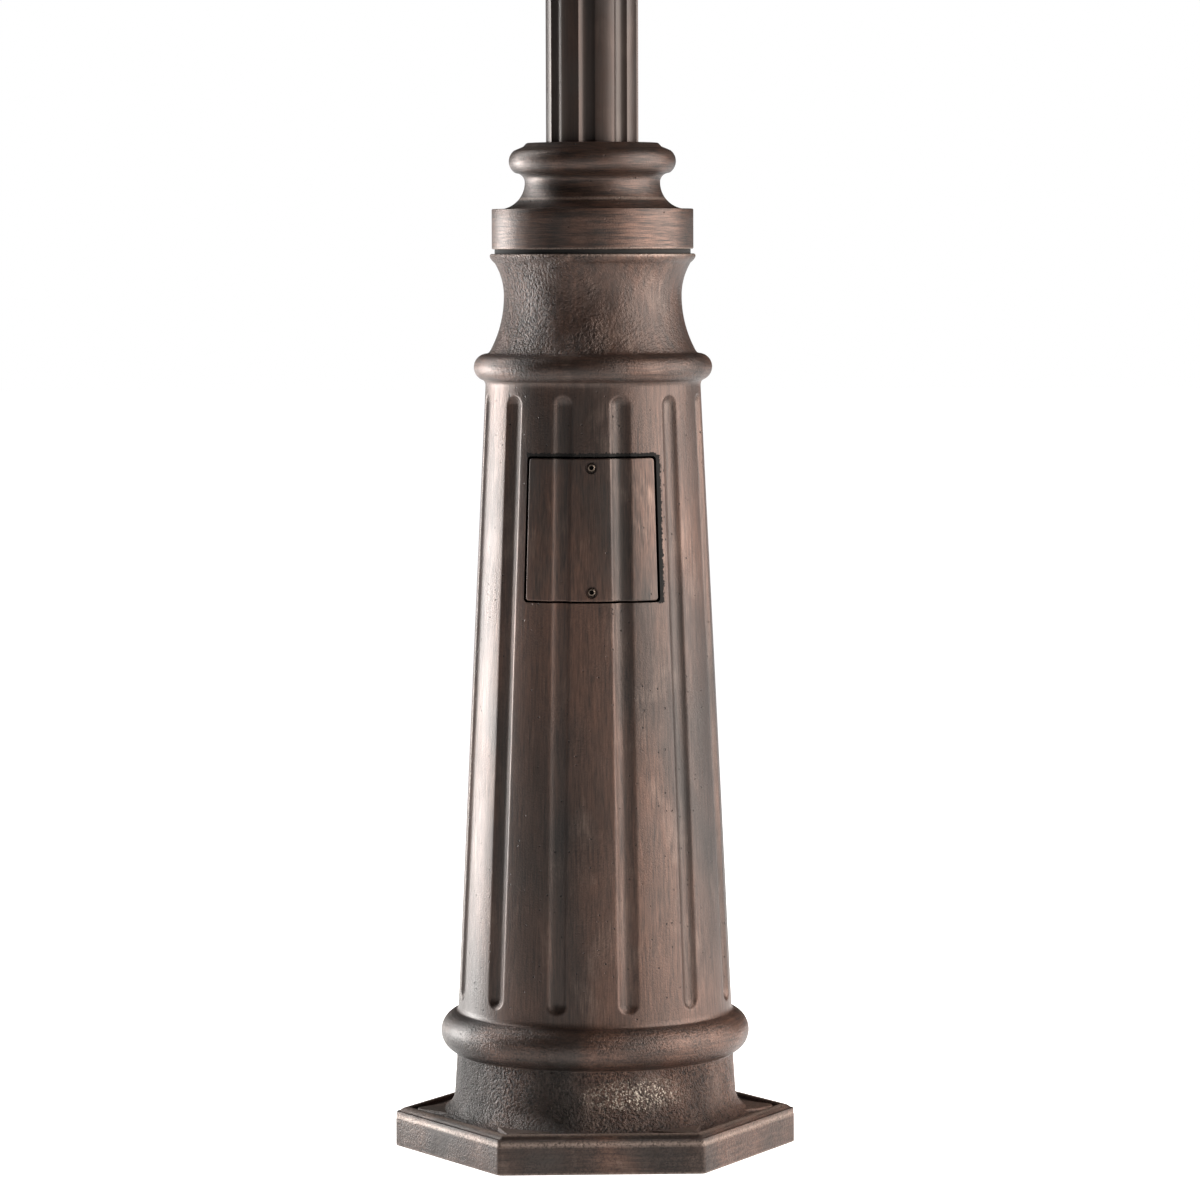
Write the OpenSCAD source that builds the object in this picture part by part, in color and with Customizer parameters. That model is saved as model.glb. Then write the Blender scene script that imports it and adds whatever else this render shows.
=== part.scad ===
// Two-face street clock on a fluted post, with a cast pedestal on a hexagonal foot.
// Origin: centre of the foot's underside. +Z up. The access cover and the front dial face -Y.

/* [Foot] */
// Radius of the hexagonal foot at its corners
foot_r = 222; // [195:1:265]
// Height of the foot's upright side
foot_side_h = 32; // [24:1:45]
// Height of the stepped rim above the upright side
foot_rim_h = 10; // [6:0.5:14]
// How far the rim steps in at a corner
foot_rim_in = 11; // [6:0.5:16]
// Depth of the sunk panels inside the rim
foot_sink = 4; // [2:0.5:5]
// Turn of the foot against the access cover, in degrees
foot_turn = 3; // [-6:0.5:6]

/* [Pedestal] */
// Wall of the pedestal casting
cast_wall = 10; // [9:0.5:14]
// Plain band above the foot: height, radius at its top and at its foot
plinth_h = 63; // [50:1:85]
plinth_r = 152.6; // [145:0.2:160]
plinth_foot_r = 155.5; // [150:0.5:162]
// Radius of the cove between the plain band and the foot
plinth_cove = 24; // [16:1:30]
// Lower bead: radius of its section and its outer radius
low_bead = 23.5; // [18:0.5:28]
low_bead_r = 170.5; // [164:0.5:176]
// Fluted body: height, radius at its foot and at its top
body_h = 695; // [560:5:850]
body_foot_r = 151.6; // [144:0.2:156]
body_top_r = 118; // [112:0.5:126]
// Upper bead: radius of its section and its outer radius
top_bead = 15; // [11:0.5:18]
top_bead_r = 131; // [127:0.5:134]
// Bell above the upper bead: height, radius at its foot and at its waist
bell_h = 107; // [90:1:130]
bell_foot_r = 114.5; // [108:0.5:120]
bell_waist_r = 97.6; // [90:0.2:102]
// Waist height as a share of the bell
bell_waist_at = 0.59; // [0.5:0.01:0.68]
// Radius of the bell's lip
bell_lip_r = 113; // [110:0.5:120]

/* [Flutes of the body] */
// Number of flutes
flutes = 12; // [10:2:14]
// Radius of a flute's round section
flute_r = 13; // [10:0.5:16]
// Depth of a flute
flute_deep = 5.5; // [3:0.5:6]
// Plain length left at each end of the body
flute_margin = 12; // [8:1:30]

/* [Access cover] */
// Half of the opening's angle, in degrees
cover_half_angle = 34.8; // [28:0.2:36]
// Height of the opening
cover_h = 158; // [130:1:190]
// Distance from the opening's top to the body's top
cover_down = 79; // [50:1:230]
// Gap around the cover
cover_gap = 2; // [1:0.25:3]
// Thickness of the cover
cover_wall = 8; // [7.5:0.25:9]
// Distance from the cover's ends to its screws
cover_screw_in = 10; // [8:0.5:16]

/* [Post] */
// Outer radius of the fluted post
post_r = 50.8; // [46:0.2:61]
// Radius of its bore
post_bore_r = 43; // [36:0.5:45]
// Number of flutes, their radius and depth
post_flutes = 8; // [6:1:10]
post_flute_r = 10.2; // [8:0.2:12]
post_flute_deep = 5; // [3:0.25:5.5]
// Turn of the flutes against the access cover, in degrees
post_turn = -5.5; // [-22:0.5:22]
// Height of the post's top above the ground
post_top = 2090; // [1750:1:2510]
// Running gap between the post and each ring around it
post_gap = 0.5; // [0.3:0.1:1]

/* [Collar] */
// Gap between the bell's lip and the collar's band
collar_gap = 5; // [3:0.5:8]
// Height and radius of the collar's band
collar_band_h = 44; // [36:1:54]
collar_band_r = 110.6; // [104:0.2:116]
// Height from the band to the bead and radius of the waist
collar_waist_h = 37; // [32:1:44]
collar_waist_r = 74.2; // [70:0.2:78]
// Radius of the collar's bead section, its outer radius and the radius of the flat top
collar_bead = 15; // [12:0.5:18]
collar_bead_r = 91.6; // [88:0.2:96]
collar_top_r = 72; // [68:0.5:78]

/* [Anchorage] */
// Radius and thickness of the anchor plate
anchor_r = 130; // [122:1:136]
anchor_t = 12; // [8:1:20]
// Radius of an anchor hole, and how far it stands off the socket's flange
anchor_hole_r = 9; // [7:0.5:11]
anchor_off = 5.2; // [3:0.1:8]
// Conduit hole radius
conduit_r = 30; // [20:1:38]
// Height and wall of the socket that holds the post
socket_h = 70; // [45:5:100]
socket_wall = 12; // [8:1:16]

/* [Head] */
// Radius and half depth of the case drum
case_r = 300; // [280:5:360]
case_half = 85; // [80:1:100]
// Wall of the drum
case_wall = 5; // [3:0.5:8]
// Distance from the drum's centre to the dial's back
dial_back = 62; // [58:1:66]
// Thickness of a dial
dial_t = 4; // [3:0.5:6]
// Radius of the glass that shows
sight_r = 252; // [210:1:290]
// Thickness of the glass
glass_t = 5; // [4:0.5:8]
// Depth of the bezel
bezel_t = 26; // [22:1:34]
// Length of the minute hand and of the hour hand
minute_len = 222; // [180:1:250]
hour_len = 150; // [110:1:180]
// Thickness of a hand
hand_t = 3; // [2:0.5:4]

/* [Hidden] */
$fn = 96;
eps = 0.01;
fit = 0.2; // gap between pieces that seat on each other on a curved face

// Finishes
bronze = "#5b4a42";
steel = "#8d9196";
brass = "#b08d57";
black = "#26262a";
cream = "#efe9d8";

// Heights of the pedestal's sections, from the ground up
foot_h = foot_side_h + foot_rim_h;
foot_floor = foot_h - foot_sink;
bead_z = foot_h + plinth_h + low_bead;
body_z = foot_h + plinth_h + 2 * low_bead;
body_top_z = body_z + body_h;
top_bead_z = body_top_z + top_bead;
bell_z = body_top_z + 2 * top_bead;
waist_z = bell_z + bell_waist_at * bell_h;
lip_z = bell_z + bell_h;
lip_h = 2;
collar_z = lip_z + lip_h + collar_gap;
collar_bead_z = collar_z + collar_band_h + collar_waist_h + collar_bead;
collar_top_z = collar_bead_z + collar_bead + 5;

// Radius and slant of the fluted body
function body_r(z) = body_foot_r + (body_top_r - body_foot_r) * (z - body_z) / body_h;
body_slant = atan((body_foot_r - body_top_r) / body_h);

// Arc of radius r that passes through a point dr out and dz up from its nearest point
function arc_r(dr, dz) = (dr * dr + dz * dz) / (2 * dr);

// Post, capital and head
capital_t = 12;
saddle_h = 110;
head_z = post_top + capital_t + saddle_h + case_r;
driver_up = 110;
driver_z = head_z - case_r + driver_up;
driver_h = 60;
driver_out = 17;

module around(count, start = 0) {
    for (i = [0:count - 1])
        rotate([0, 0, start + i * 360 / count]) children();
}

// ---------------------------------------------------------------- pedestal
module hexagon(corner_r) {
    rotate([0, 0, foot_turn]) circle(r = corner_r, $fn = 6);
}

module foot_pad() {
    // raised corner between two sunk panels, its point towards the foot's corner
    tip = foot_r - foot_rim_in - 16;
    linear_extrude(foot_h) polygon([[plinth_r - 8, -50], [tip, -7], [tip, 7], [plinth_r - 8, 50]]);
}

module foot_solid() {
    linear_extrude(foot_side_h) hexagon(foot_r);
    linear_extrude(foot_side_h + foot_rim_h / 2) hexagon(foot_r - foot_rim_in / 2);
    difference() {
        linear_extrude(foot_h) hexagon(foot_r - foot_rim_in);
        translate([0, 0, foot_floor]) linear_extrude(foot_h) hexagon(foot_r - foot_rim_in - 11);
    }
    around(6, foot_turn) foot_pad();
}

module bead(r, z, size) {
    translate([r, z]) circle(r = size);
}

module pedestal_outline() {
    cove_z = foot_floor + plinth_cove;
    difference() {
        polygon([
            [0, foot_floor - 10], [plinth_foot_r + plinth_cove, foot_floor - 10],
            [plinth_foot_r + plinth_cove, foot_floor], [plinth_foot_r + plinth_cove, cove_z],
            [plinth_foot_r, cove_z], [plinth_r, bead_z - low_bead], [body_foot_r - 6, bead_z],
            [body_foot_r, body_z], [body_top_r, body_top_z], [body_top_r - 6, top_bead_z],
            [bell_foot_r, bell_z], [bell_foot_r, waist_z], [bell_lip_r, waist_z],
            [bell_lip_r, lip_z + lip_h], [0, lip_z + lip_h]
        ]);
        bead(plinth_foot_r + plinth_cove, cove_z, plinth_cove);
        bell_hollow();
    }
    bead(low_bead_r - low_bead, bead_z, low_bead);
    bead(top_bead_r - top_bead, top_bead_z, top_bead);
}

// Concave side of the bell: one arc below the waist and one above it
module bell_hollow() {
    low = arc_r(bell_foot_r - bell_waist_r, waist_z - bell_z);
    high = arc_r(bell_lip_r - bell_waist_r, lip_z - waist_z);
    intersection() {
        bead(bell_waist_r + low, waist_z, low);
        translate([bell_waist_r - 1, bell_z]) square([60, waist_z - bell_z]);
    }
    intersection() {
        bead(bell_waist_r + high, waist_z, high);
        translate([bell_waist_r - 1, waist_z]) square([60, lip_z - waist_z]);
    }
}

module pedestal_cavity() {
    inner_lip = lip_z - 14;
    polygon([
        [0, -1], [plinth_r - cast_wall, -1], [plinth_r - cast_wall, bead_z],
        [body_foot_r - cast_wall, body_z], [body_top_r - cast_wall, body_top_z],
        [bell_waist_r - cast_wall, bell_z + 10], [bell_waist_r - cast_wall, inner_lip],
        [post_r + post_gap, inner_lip], [post_r + post_gap, collar_top_z], [0, collar_top_z]
    ]);
}

// Round-ended flute that lies along the slanted side of the body
module flute_cutter() {
    z0 = body_z + flute_margin + flute_r;
    z1 = body_top_z - flute_margin - flute_r;
    out = flute_r - flute_deep;
    a = [body_r(z0) + out, 0, z0];
    length = (z1 - z0) / cos(body_slant);
    translate(a) rotate([0, -body_slant, 0]) rotate_extrude() intersection() {
        union() {
            circle(r = flute_r);
            square([flute_r, length]);
            translate([0, length]) circle(r = flute_r);
        }
        translate([0, -flute_r]) square([flute_r, length + 2 * flute_r]);
    }
}

module pedestal_flutes() {
    around(flutes, -90 + 180 / flutes) flute_cutter();
}

cover_z = body_top_z - cover_down - cover_h;
module cover_window(gap, depth) {
    // four-sided window whose upright sides follow the taper of the body
    z0 = cover_z + gap;
    z1 = cover_z + cover_h - gap;
    w0 = body_r(z0) * sin(cover_half_angle) - gap;
    w1 = body_r(z1) * sin(cover_half_angle) - gap;
    translate([0, -depth, 0]) rotate([90, 0, 0])
        linear_extrude(body_foot_r) polygon([[-w0, z0], [w0, z0], [w1, z1], [-w1, z1]]);
}

cover_screws_z = [cover_z + cover_gap + cover_screw_in, cover_z + cover_h - cover_gap - cover_screw_in];
screw_r = 3;
screw_head_r = 5.25;
screw_head_h = 3.3;
lug_t = 12;
lug_w = 24;
lug_gap = 1.5;

// Lug that reaches behind the cover from the wall above or below the window
module cover_lug(z, up) {
    face = body_r(z) - cover_wall - lug_gap;
    seat = 11;
    root = 14;
    edge = up > 0 ? cover_z + cover_h + 1 : cover_z - 1 - root;
    translate([-lug_w / 2, -face, z - seat]) cube([lug_w, lug_t, 2 * seat]);
    translate([-lug_w / 2, -face, edge - 3]) cube([lug_w, lug_t, root + 6]);
    translate([-lug_w / 2, -face - 5, edge]) cube([lug_w, lug_t, root]);
}

module base_casting() color(bronze) {
    difference() {
        union() {
            difference() {
                union() {
                    foot_solid();
                    rotate_extrude() pedestal_outline();
                }
                rotate_extrude() pedestal_cavity();
                difference() {
                    translate([0, 0, -1]) linear_extrude(foot_floor - cast_wall + 1)
                        hexagon(foot_r - cast_wall / cos(30));
                    translate([0, 0, -2]) cylinder(r = plinth_r, h = foot_h);
                    around(6, foot_turn) translate([plinth_r - 2, -4, -2]) cube([80, 8, foot_h]);
                }
                pedestal_flutes();
                cover_window(0, body_top_r - cast_wall - 40);
            }
            cover_lug(cover_screws_z[0], -1);
            cover_lug(cover_screws_z[1], 1);
        }
        for (z = cover_screws_z)
            translate([0, 0, z]) rotate([90, 0, 0]) cylinder(r = screw_r + fit, h = body_foot_r);
    }
}

module access_cover() color(bronze) {
    difference() {
        intersection() {
            rotate_extrude() polygon([
                [body_foot_r - cover_wall, body_z], [body_foot_r, body_z],
                [body_top_r, body_top_z], [body_top_r - cover_wall, body_top_z]
            ]);
            cover_window(cover_gap, body_top_r / 2);
        }
        pedestal_flutes();
        for (z = cover_screws_z)
            translate([0, -body_r(z) + screw_head_h + 1, z]) rotate([90, 0, 0]) {
                translate([0, 0, -cover_wall - 2]) cylinder(r = screw_r + fit, h = 2 * cover_wall);
                cylinder(r = screw_head_r + 0.9, h = 2 * cover_wall);
            }
    }
}

module cover_screws() color(steel)
    for (z = cover_screws_z)
        translate([0, -body_r(z) + screw_head_h + 1 - fit, z]) rotate([90, 0, 0])
            button_screw(screw_r, screw_head_r, screw_head_h, 16);

// Screw along +Z under its head, with a domed head and a hexagon socket
module button_screw(r, head_r, head_h, length) {
    dome = arc_r(head_h, head_r);
    difference() {
        union() {
            translate([0, 0, -length]) cylinder(r = r, h = length + eps);
            intersection() {
                cylinder(r = head_r, h = head_h);
                translate([0, 0, head_h - dome]) sphere(r = dome);
            }
        }
        translate([0, 0, head_h / 3]) cylinder(r = head_r * 0.44, h = head_h, $fn = 6);
    }
}

// ---------------------------------------------------------------- collar
module collar_outline() {
    band_top = collar_z + collar_band_h;
    waist = band_top + collar_waist_h - 8;
    cove = arc_r(collar_band_r - 8 - collar_waist_r, waist - band_top);
    top_cove = arc_r(12, 10);
    difference() {
        polygon([
            [post_r + post_gap, lip_z + lip_h], [collar_band_r - collar_neck_in, lip_z + lip_h],
            [collar_band_r - collar_neck_in, collar_z], [collar_band_r, collar_z], [collar_band_r, band_top],
            [collar_band_r - 8, band_top + 1], [collar_band_r - 8, waist],
            [collar_waist_r + 12, waist], [collar_waist_r + 12, collar_bead_z],
            [collar_top_r + 4, collar_bead_z + collar_bead - 1], [collar_top_r, collar_top_z],
            [post_r + post_gap, collar_top_z]
        ]);
        intersection() {
            bead(collar_waist_r + cove, waist, cove);
            translate([collar_waist_r - 1, band_top]) square([60, waist - band_top]);
        }
        intersection() {
            bead(collar_waist_r + top_cove, waist, top_cove);
            translate([collar_waist_r - 1, waist]) square([30, 10]);
        }
    }
    bead(collar_bead_r - collar_bead, collar_bead_z, collar_bead);
}

collar_neck_in = 3;
collar_boss_z = collar_z + collar_band_h / 2;
collar_boss_r = 9;
set_screw_r = 4;
rear_pair = [35, 145];
module base_collar() color(bronze) {
    difference() {
        union() {
            difference() {
                rotate_extrude() collar_outline();
                rotate_extrude() polygon([
                    [0, 0], [collar_band_r - 16, 0],
                    [collar_band_r - 16, collar_z + collar_band_h - 10],
                    [collar_waist_r - 9, collar_z + collar_band_h + 6],
                    [collar_waist_r - 9, collar_bead_z], [0, collar_bead_z]
                ]);
            }
            outward(rear_pair, collar_boss_z) translate([0, 0, post_r + 3])
                cylinder(r = collar_boss_r, h = collar_band_r - 10 - post_r);
        }
        outward(rear_pair, collar_boss_z) cylinder(r = set_screw_r + fit, h = 2 * collar_band_r);
    }
}

// Turns children's +Z outward at each of these angles
module outward(angles, z) {
    for (a = angles)
        translate([0, 0, z]) rotate([0, 90, a]) children();
}

// Set screws that bear on the post
module set_screws(angles, z, outer) {
    outward(angles, z) difference() {
        translate([0, 0, post_r + fit]) cylinder(r = set_screw_r, h = outer - post_r - fit);
        translate([0, 0, outer - set_screw_r]) cylinder(r = set_screw_r * 0.55, h = 10, $fn = 6);
    }
}

module collar_set_screws() color(steel) set_screws(rear_pair, collar_boss_z, collar_band_r - 1);

// ---------------------------------------------------------------- anchorage and post
socket_r = post_r + post_gap + socket_wall;
socket_pcr = socket_r + 12;
socket_flange_r = socket_pcr + 12;
socket_screw_r = 5;
anchor_pcr = socket_flange_r + anchor_off + anchor_hole_r;

module anchor_plate() color(steel) difference() {
    cylinder(r = anchor_r, h = anchor_t);
    translate([0, 0, -1]) cylinder(r = conduit_r, h = anchor_t + 2);
    around(4, 45) translate([anchor_pcr, 0, -1]) cylinder(r = anchor_hole_r, h = anchor_t + 2);
    around(4) translate([socket_pcr, 0, 2]) cylinder(r = socket_screw_r + 0.1, h = anchor_t);
}

module post_socket() color(steel) difference() {
    translate([0, 0, anchor_t]) {
        cylinder(r = socket_flange_r, h = 12);
        cylinder(r = socket_r, h = socket_h);
    }
    cylinder(r = post_r + post_gap, h = 2 * socket_h);
    around(4) translate([socket_pcr, 0, 0]) cylinder(r = socket_screw_r + fit, h = 2 * socket_h);
}

module socket_screws() color(steel)
    around(4) translate([socket_pcr, 0, anchor_t + 12]) {
        translate([0, 0, -anchor_t - 8]) cylinder(r = socket_screw_r, h = anchor_t + 9);
        cylinder(r = 8.5, h = 6.5, $fn = 6);
    }

grommet_z = cover_z + cover_h + 70;
grommet_r = 9;
module fluted_post() color(bronze) difference() {
    translate([0, 0, anchor_t]) cylinder(r = post_r, h = post_top - anchor_t);
    cylinder(r = post_bore_r, h = post_top + 1);
    around(post_flutes, -90 + post_turn)
        translate([post_r + post_flute_r - post_flute_deep, 0, -1])
            cylinder(r = post_flute_r, h = post_top + 2);
    outward([-90], grommet_z) cylinder(r = grommet_r, h = 2 * post_r);
}

// ---------------------------------------------------------------- wiring behind the access cover
bracket_t = 3;
bracket_off = 10;
bracket_h = 150;
bracket_w = 64;
bracket_z = cover_z + 4;
bracket_y = -post_r - bracket_off - bracket_t;
cable_r = 5;
fuse_r = 9;
fuse_h = 62;
fuse_z = bracket_z + bracket_h - fuse_h - 8;
block_h = 46;

module wiring_bracket() color(steel) difference() {
    translate([-bracket_w / 2, bracket_y, bracket_z]) {
        cube([bracket_w, bracket_t, bracket_h]);
        for (z = [10, bracket_h - 22])
            translate([bracket_w / 2 - 14, 0, z]) cube([28, bracket_off + 8, 12]);
    }
    cylinder(r = post_r + fit, h = post_top);
    translate([-bracket_w / 2 + 10, bracket_y - 1, bracket_z + 10]) rotate([-90, 0, 0])
        cylinder(r = 3.2, h = 9);
}

module terminal_block() color(cream) difference() {
    translate([-26, bracket_y - 26, bracket_z + 20]) cube([52, 26, block_h]);
    for (x = [-18:12:18])
        translate([x, bracket_y - 27, bracket_z + 20 + block_h / 2]) rotate([-90, 0, 0])
            cylinder(r = 3.5, h = 9);
}

module fuse_holder() color(black) translate([0, bracket_y - fuse_r, fuse_z]) {
    cylinder(r = fuse_r, h = fuse_h);
    translate([0, 0, fuse_h * 0.35]) cylinder(r = fuse_r, h = fuse_h * 0.1);
}

module earth_lug() color(brass)
    translate([-bracket_w / 2 + 10, bracket_y, bracket_z + 10]) rotate([90, 0, 0]) {
        translate([0, 0, -8]) cylinder(r = 3, h = 9);
        translate([0, 0, 0]) cylinder(r = 7, h = 2);
        translate([0, 0, 2]) cylinder(r = 5.5, h = 4, $fn = 6);
    }

module cable_grommet() color(black) outward([-90], grommet_z) rotate_extrude()
    polygon([
        [cable_r + 0.1, post_bore_r - 2], [grommet_r - 0.1, post_bore_r - 2], [grommet_r - 0.1, post_r + 0.2],
        [grommet_r + 3, post_r + 0.2], [grommet_r + 3, post_r + 3], [cable_r + 0.1, post_r + 3]
    ]);

// Riser cable, in the plane X = 0: fuse holder, grommet, up the post, then to the driver in the head
cable_sides = 12;
cable_bend = 30;
riser = [
    [0, bracket_y - fuse_r, fuse_z + fuse_h], [0, bracket_y - fuse_r, grommet_z - cable_bend],
    [0, -post_r - 8, grommet_z], [0, -20, grommet_z], [0, 0, grommet_z + cable_bend],
    [0, 0, head_z - case_r + 10], [0, -driver_out, driver_z - cable_bend], [0, -driver_out, driver_z]
];
riser_end = len(riser) - 1;
function unit(v) = v / norm(v);
function leg(i) = unit(riser[min(i, riser_end - 1) + 1] - riser[min(i, riser_end - 1)]);
function tangent(i) = unit(leg(max(i - 1, 0)) + leg(i));
function across(i) = cross([1, 0, 0], tangent(i)) / (tangent(i) * leg(i));
function ring(i) = [
    for (k = [0:cable_sides - 1], a = k * 360 / cable_sides)
        riser[i] + cable_r * (cos(a) * [1, 0, 0] + sin(a) * across(i))
];
module riser_cable() color(black) polyhedron(
    [for (i = [0:riser_end], p = ring(i)) p],
    concat(
        [[for (k = [0:cable_sides - 1]) cable_sides - 1 - k]],
        [for (i = [0:riser_end - 1], k = [0:cable_sides - 1], n = (k + 1) % cable_sides, a = i * cable_sides)
            [a + k, a + n, a + cable_sides + n, a + cable_sides + k]],
        [[for (k = [0:cable_sides - 1]) riser_end * cable_sides + k]]
    )
);

// ---------------------------------------------------------------- capital and saddle
capital_wall = 12;
capital_h = 90;
capital_r = post_r + post_gap + capital_wall + 20.7;
saddle_t = 12;
cradle_t = 14;
cradle_w = 150;
cradle_half = 55;
duct_r = 14;
capital_angles = [30, 150, 270];
capital_screw_z = post_top - capital_h + 24;
flange_pcr = capital_r - 16;
flange_bolt_r = 5;

module capital_outline() {
    r = post_r + post_gap + capital_wall;
    foot = post_top - capital_h;
    difference() {
        union() {
            translate([0, foot]) square([r, capital_h]);
            bead(r + 2, foot + 8, 8);
            bead(r, post_top - 30, 6);
            translate([0, post_top - 16]) square([capital_r, 16 + capital_t]);
        }
        bead(capital_r + 2, post_top - 16, 18);
        translate([-1, foot - 5]) square([post_r + post_gap + 1, capital_h + 5]);
        translate([-1, foot]) square([duct_r + 1, 2 * capital_h]);
        translate([-capital_r, foot - 5]) square([capital_r, 2 * capital_h]);
    }
}

module post_capital() color(bronze) difference() {
    rotate_extrude() capital_outline();
    outward(capital_angles, capital_screw_z) cylinder(r = set_screw_r + fit, h = capital_r);
    around(4, 45) translate([flange_pcr, 0, post_top - 20]) cylinder(r = flange_bolt_r + fit, h = 60);
}

module capital_set_screws() color(steel)
    set_screws(capital_angles, capital_screw_z, post_r + post_gap + capital_wall - 0.5);

module along_head(out = 0) {
    translate([0, out, head_z]) rotate([90, 0, 0]) children();
}

module head_saddle() color(bronze) {
    foot = post_top + capital_t;
    neck_top = saddle_h - cradle_t / 2;
    waist = arc_r(12, neck_top / 2 - saddle_t / 2);
    difference() {
        union() {
            translate([0, 0, foot]) cylinder(r = capital_r, h = saddle_t);
            translate([0, 0, foot]) rotate_extrude() difference() {
                square([50, neck_top]);
                intersection() {
                    translate([38 + waist, saddle_t + (neck_top - saddle_t) / 2]) circle(r = waist);
                    translate([0, saddle_t]) square([60, neck_top - saddle_t]);
                }
            }
            intersection() {
                along_head(cradle_half) cylinder(r = case_r + cradle_t, h = 2 * cradle_half);
                translate([-cradle_w, -cradle_half, foot])
                    cube([2 * cradle_w, 2 * cradle_half, saddle_h + 45]);
            }
        }
        along_head(case_half) cylinder(r = case_r + fit, h = 2 * case_half);
        cylinder(r = duct_r, h = head_z);
        around(4, 45) translate([flange_pcr, 0, foot - 1]) cylinder(r = flange_bolt_r + fit, h = 60);
        cradle_bolt_places() translate([0, 0, -20]) cylinder(r = flange_bolt_r + fit, h = 60);
    }
}

cradle_bolt_angle = 17;
cradle_bolt_out = 36;
module cradle_bolt_places() {
    for (a = [-1, 1], y = [-1, 1])
        translate([0, y * cradle_bolt_out, head_z]) rotate([0, a * cradle_bolt_angle, 0])
            translate([0, 0, -case_r - cradle_t]) children();
}

module saddle_bolts() color(steel) {
    around(4, 45) translate([flange_pcr, 0, post_top + capital_t + saddle_t]) {
        cylinder(r = 8.5, h = 6.5, $fn = 6);
        translate([0, 0, -saddle_t - capital_t]) cylinder(r = flange_bolt_r, h = saddle_t + capital_t + 1);
    }
    cradle_bolt_places() {
        translate([0, 0, -6.5]) cylinder(r = 8.5, h = 6.5, $fn = 6);
        translate([0, 0, -1]) cylinder(r = flange_bolt_r, h = cradle_t + case_wall + foot_t);
    }
}

// ---------------------------------------------------------------- head
// Local frame of a dial: +X to the viewer's right, +Y up, +Z outward from the head's centre
module facing(side) {
    translate([0, 0, head_z]) rotate([90, 0, side == "rear" ? 180 : 0]) children();
}

drum_in = case_r - case_wall;
ledge_t = 4;
ledge_in = 26;
dial_r = drum_in - 1.5;
dial_screw_pcr = drum_in - ledge_in / 2;
hinge_x = case_r + 20;
hinge_out = case_half + 6;
hinge_r = 9;
hinge_half = 46;
hinge_pin_r = 4;
knuckle_half = 16;
latch_x = -case_r - 26;
latch_r = 4;
keeper_out = case_half - 14;
foot_t = 6;
foot_out = 50;

module case_drum() color(bronze) difference() {
    union() {
        for (side = ["front", "rear"]) facing(side) {
            difference() {
                cylinder(r = case_r, h = case_half);
                translate([0, 0, -1]) cylinder(r = drum_in, h = case_half + 2);
            }
            translate([0, 0, dial_back - ledge_t]) difference() {
                cylinder(r = drum_in + 1, h = ledge_t);
                translate([0, 0, -1]) cylinder(r = drum_in - ledge_in, h = ledge_t + 2);
                around(6, 30) translate([dial_screw_pcr, 0, -1]) cylinder(r = 2.6, h = 9);
            }
            case_knuckles();
        }
        translate([0, 0, head_z + case_r - 2]) cylinder(r = finial_r - 8, h = 8);
    }
    translate([0, 0, head_z - case_r - 20]) cylinder(r = duct_r, h = 60);
    translate([0, 0, head_z + case_r - 20]) cylinder(r = stud_r + fit, h = 60);
    cradle_bolt_places() cylinder(r = flange_bolt_r + fit, h = 60);
}

// Two knuckles on arms that stand out from the drum's side
module case_knuckles() {
    for (s = [-1, 1]) difference() {
        translate([0, s * (knuckle_half + hinge_half) / 2, 0]) {
            h = hinge_half - knuckle_half - 0.6;
            translate([hinge_x, h / 2, hinge_out]) rotate([90, 0, 0]) cylinder(r = hinge_r, h = h);
            translate([case_r - 6, -h / 2, case_half - 26]) cube([hinge_x - case_r + 6, h, 15]);
            translate([hinge_x - hinge_r, -h / 2, case_half - 26]) cube([2 * hinge_r, h, 32]);
        }
        translate([hinge_x, 2 * hinge_half, hinge_out]) rotate([90, 0, 0])
            cylinder(r = hinge_pin_r + 0.02, h = 4 * hinge_half);
        translate([0, 0, case_half - 40]) cylinder(r = drum_in + 1, h = 80);
    }
}

// Blocks on the drum's side that the latches' arms turn behind
module latch_keepers() color(brass)
    for (side = ["front", "rear"]) facing(side) difference() {
        translate([-case_r - 16, -14, keeper_out]) cube([24, 28, 6]);
        cylinder(r = case_r + fit, h = case_half);
    }

// ---------------------------------------------------------------- finial
finial_r = 34;
finial_h = 150;
stud_r = 6;
module finial() color(bronze) difference() {
    translate([0, 0, head_z + case_r]) rotate_extrude() difference() {
        union() {
            translate([0, -6]) square([finial_r, 18]);
            polygon([[0, 0], [22, 0], [12, 40], [12, 46], [0, 46]]);
            bead(16, 46, 5);
            translate([0, 41]) square([16, 10]);
            translate([0, 78]) circle(r = 30);
            polygon([[0, 78], [14, 100], [9, 112], [0, finial_h]]);
        }
        translate([-60, -10]) square([60, 2 * finial_h]);
    }
    along_head(case_half) cylinder(r = case_r + fit, h = 2 * case_half);
    translate([0, 0, head_z]) cylinder(r = finial_r - 7.5, h = case_r + 6.5);
    translate([0, 0, head_z]) cylinder(r = stud_r + 0.1, h = case_r + 40);
}

module finial_stud() color(steel) {
    translate([0, 0, head_z + drum_in - 16]) cylinder(r = stud_r, h = 54);
    translate([0, 0, head_z + drum_in - foot_t - fit - 10]) cylinder(r = 10, h = 9.8, $fn = 6);
}

// ---------------------------------------------------------------- movement carrier and light
carrier_t = 4;
carrier_w = 120;
module carrier_foot(up) {
    intersection() {
        difference() {
            translate([0, 0, -foot_out]) cylinder(r = drum_in - fit, h = 2 * foot_out);
            translate([0, 0, -foot_out - 1]) cylinder(r = drum_in - fit - foot_t, h = 2 * foot_out + 2);
        }
        translate([-110, up > 0 ? 0 : -case_r, -foot_out]) cube([220, case_r, 2 * foot_out]);
    }
}

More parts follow.
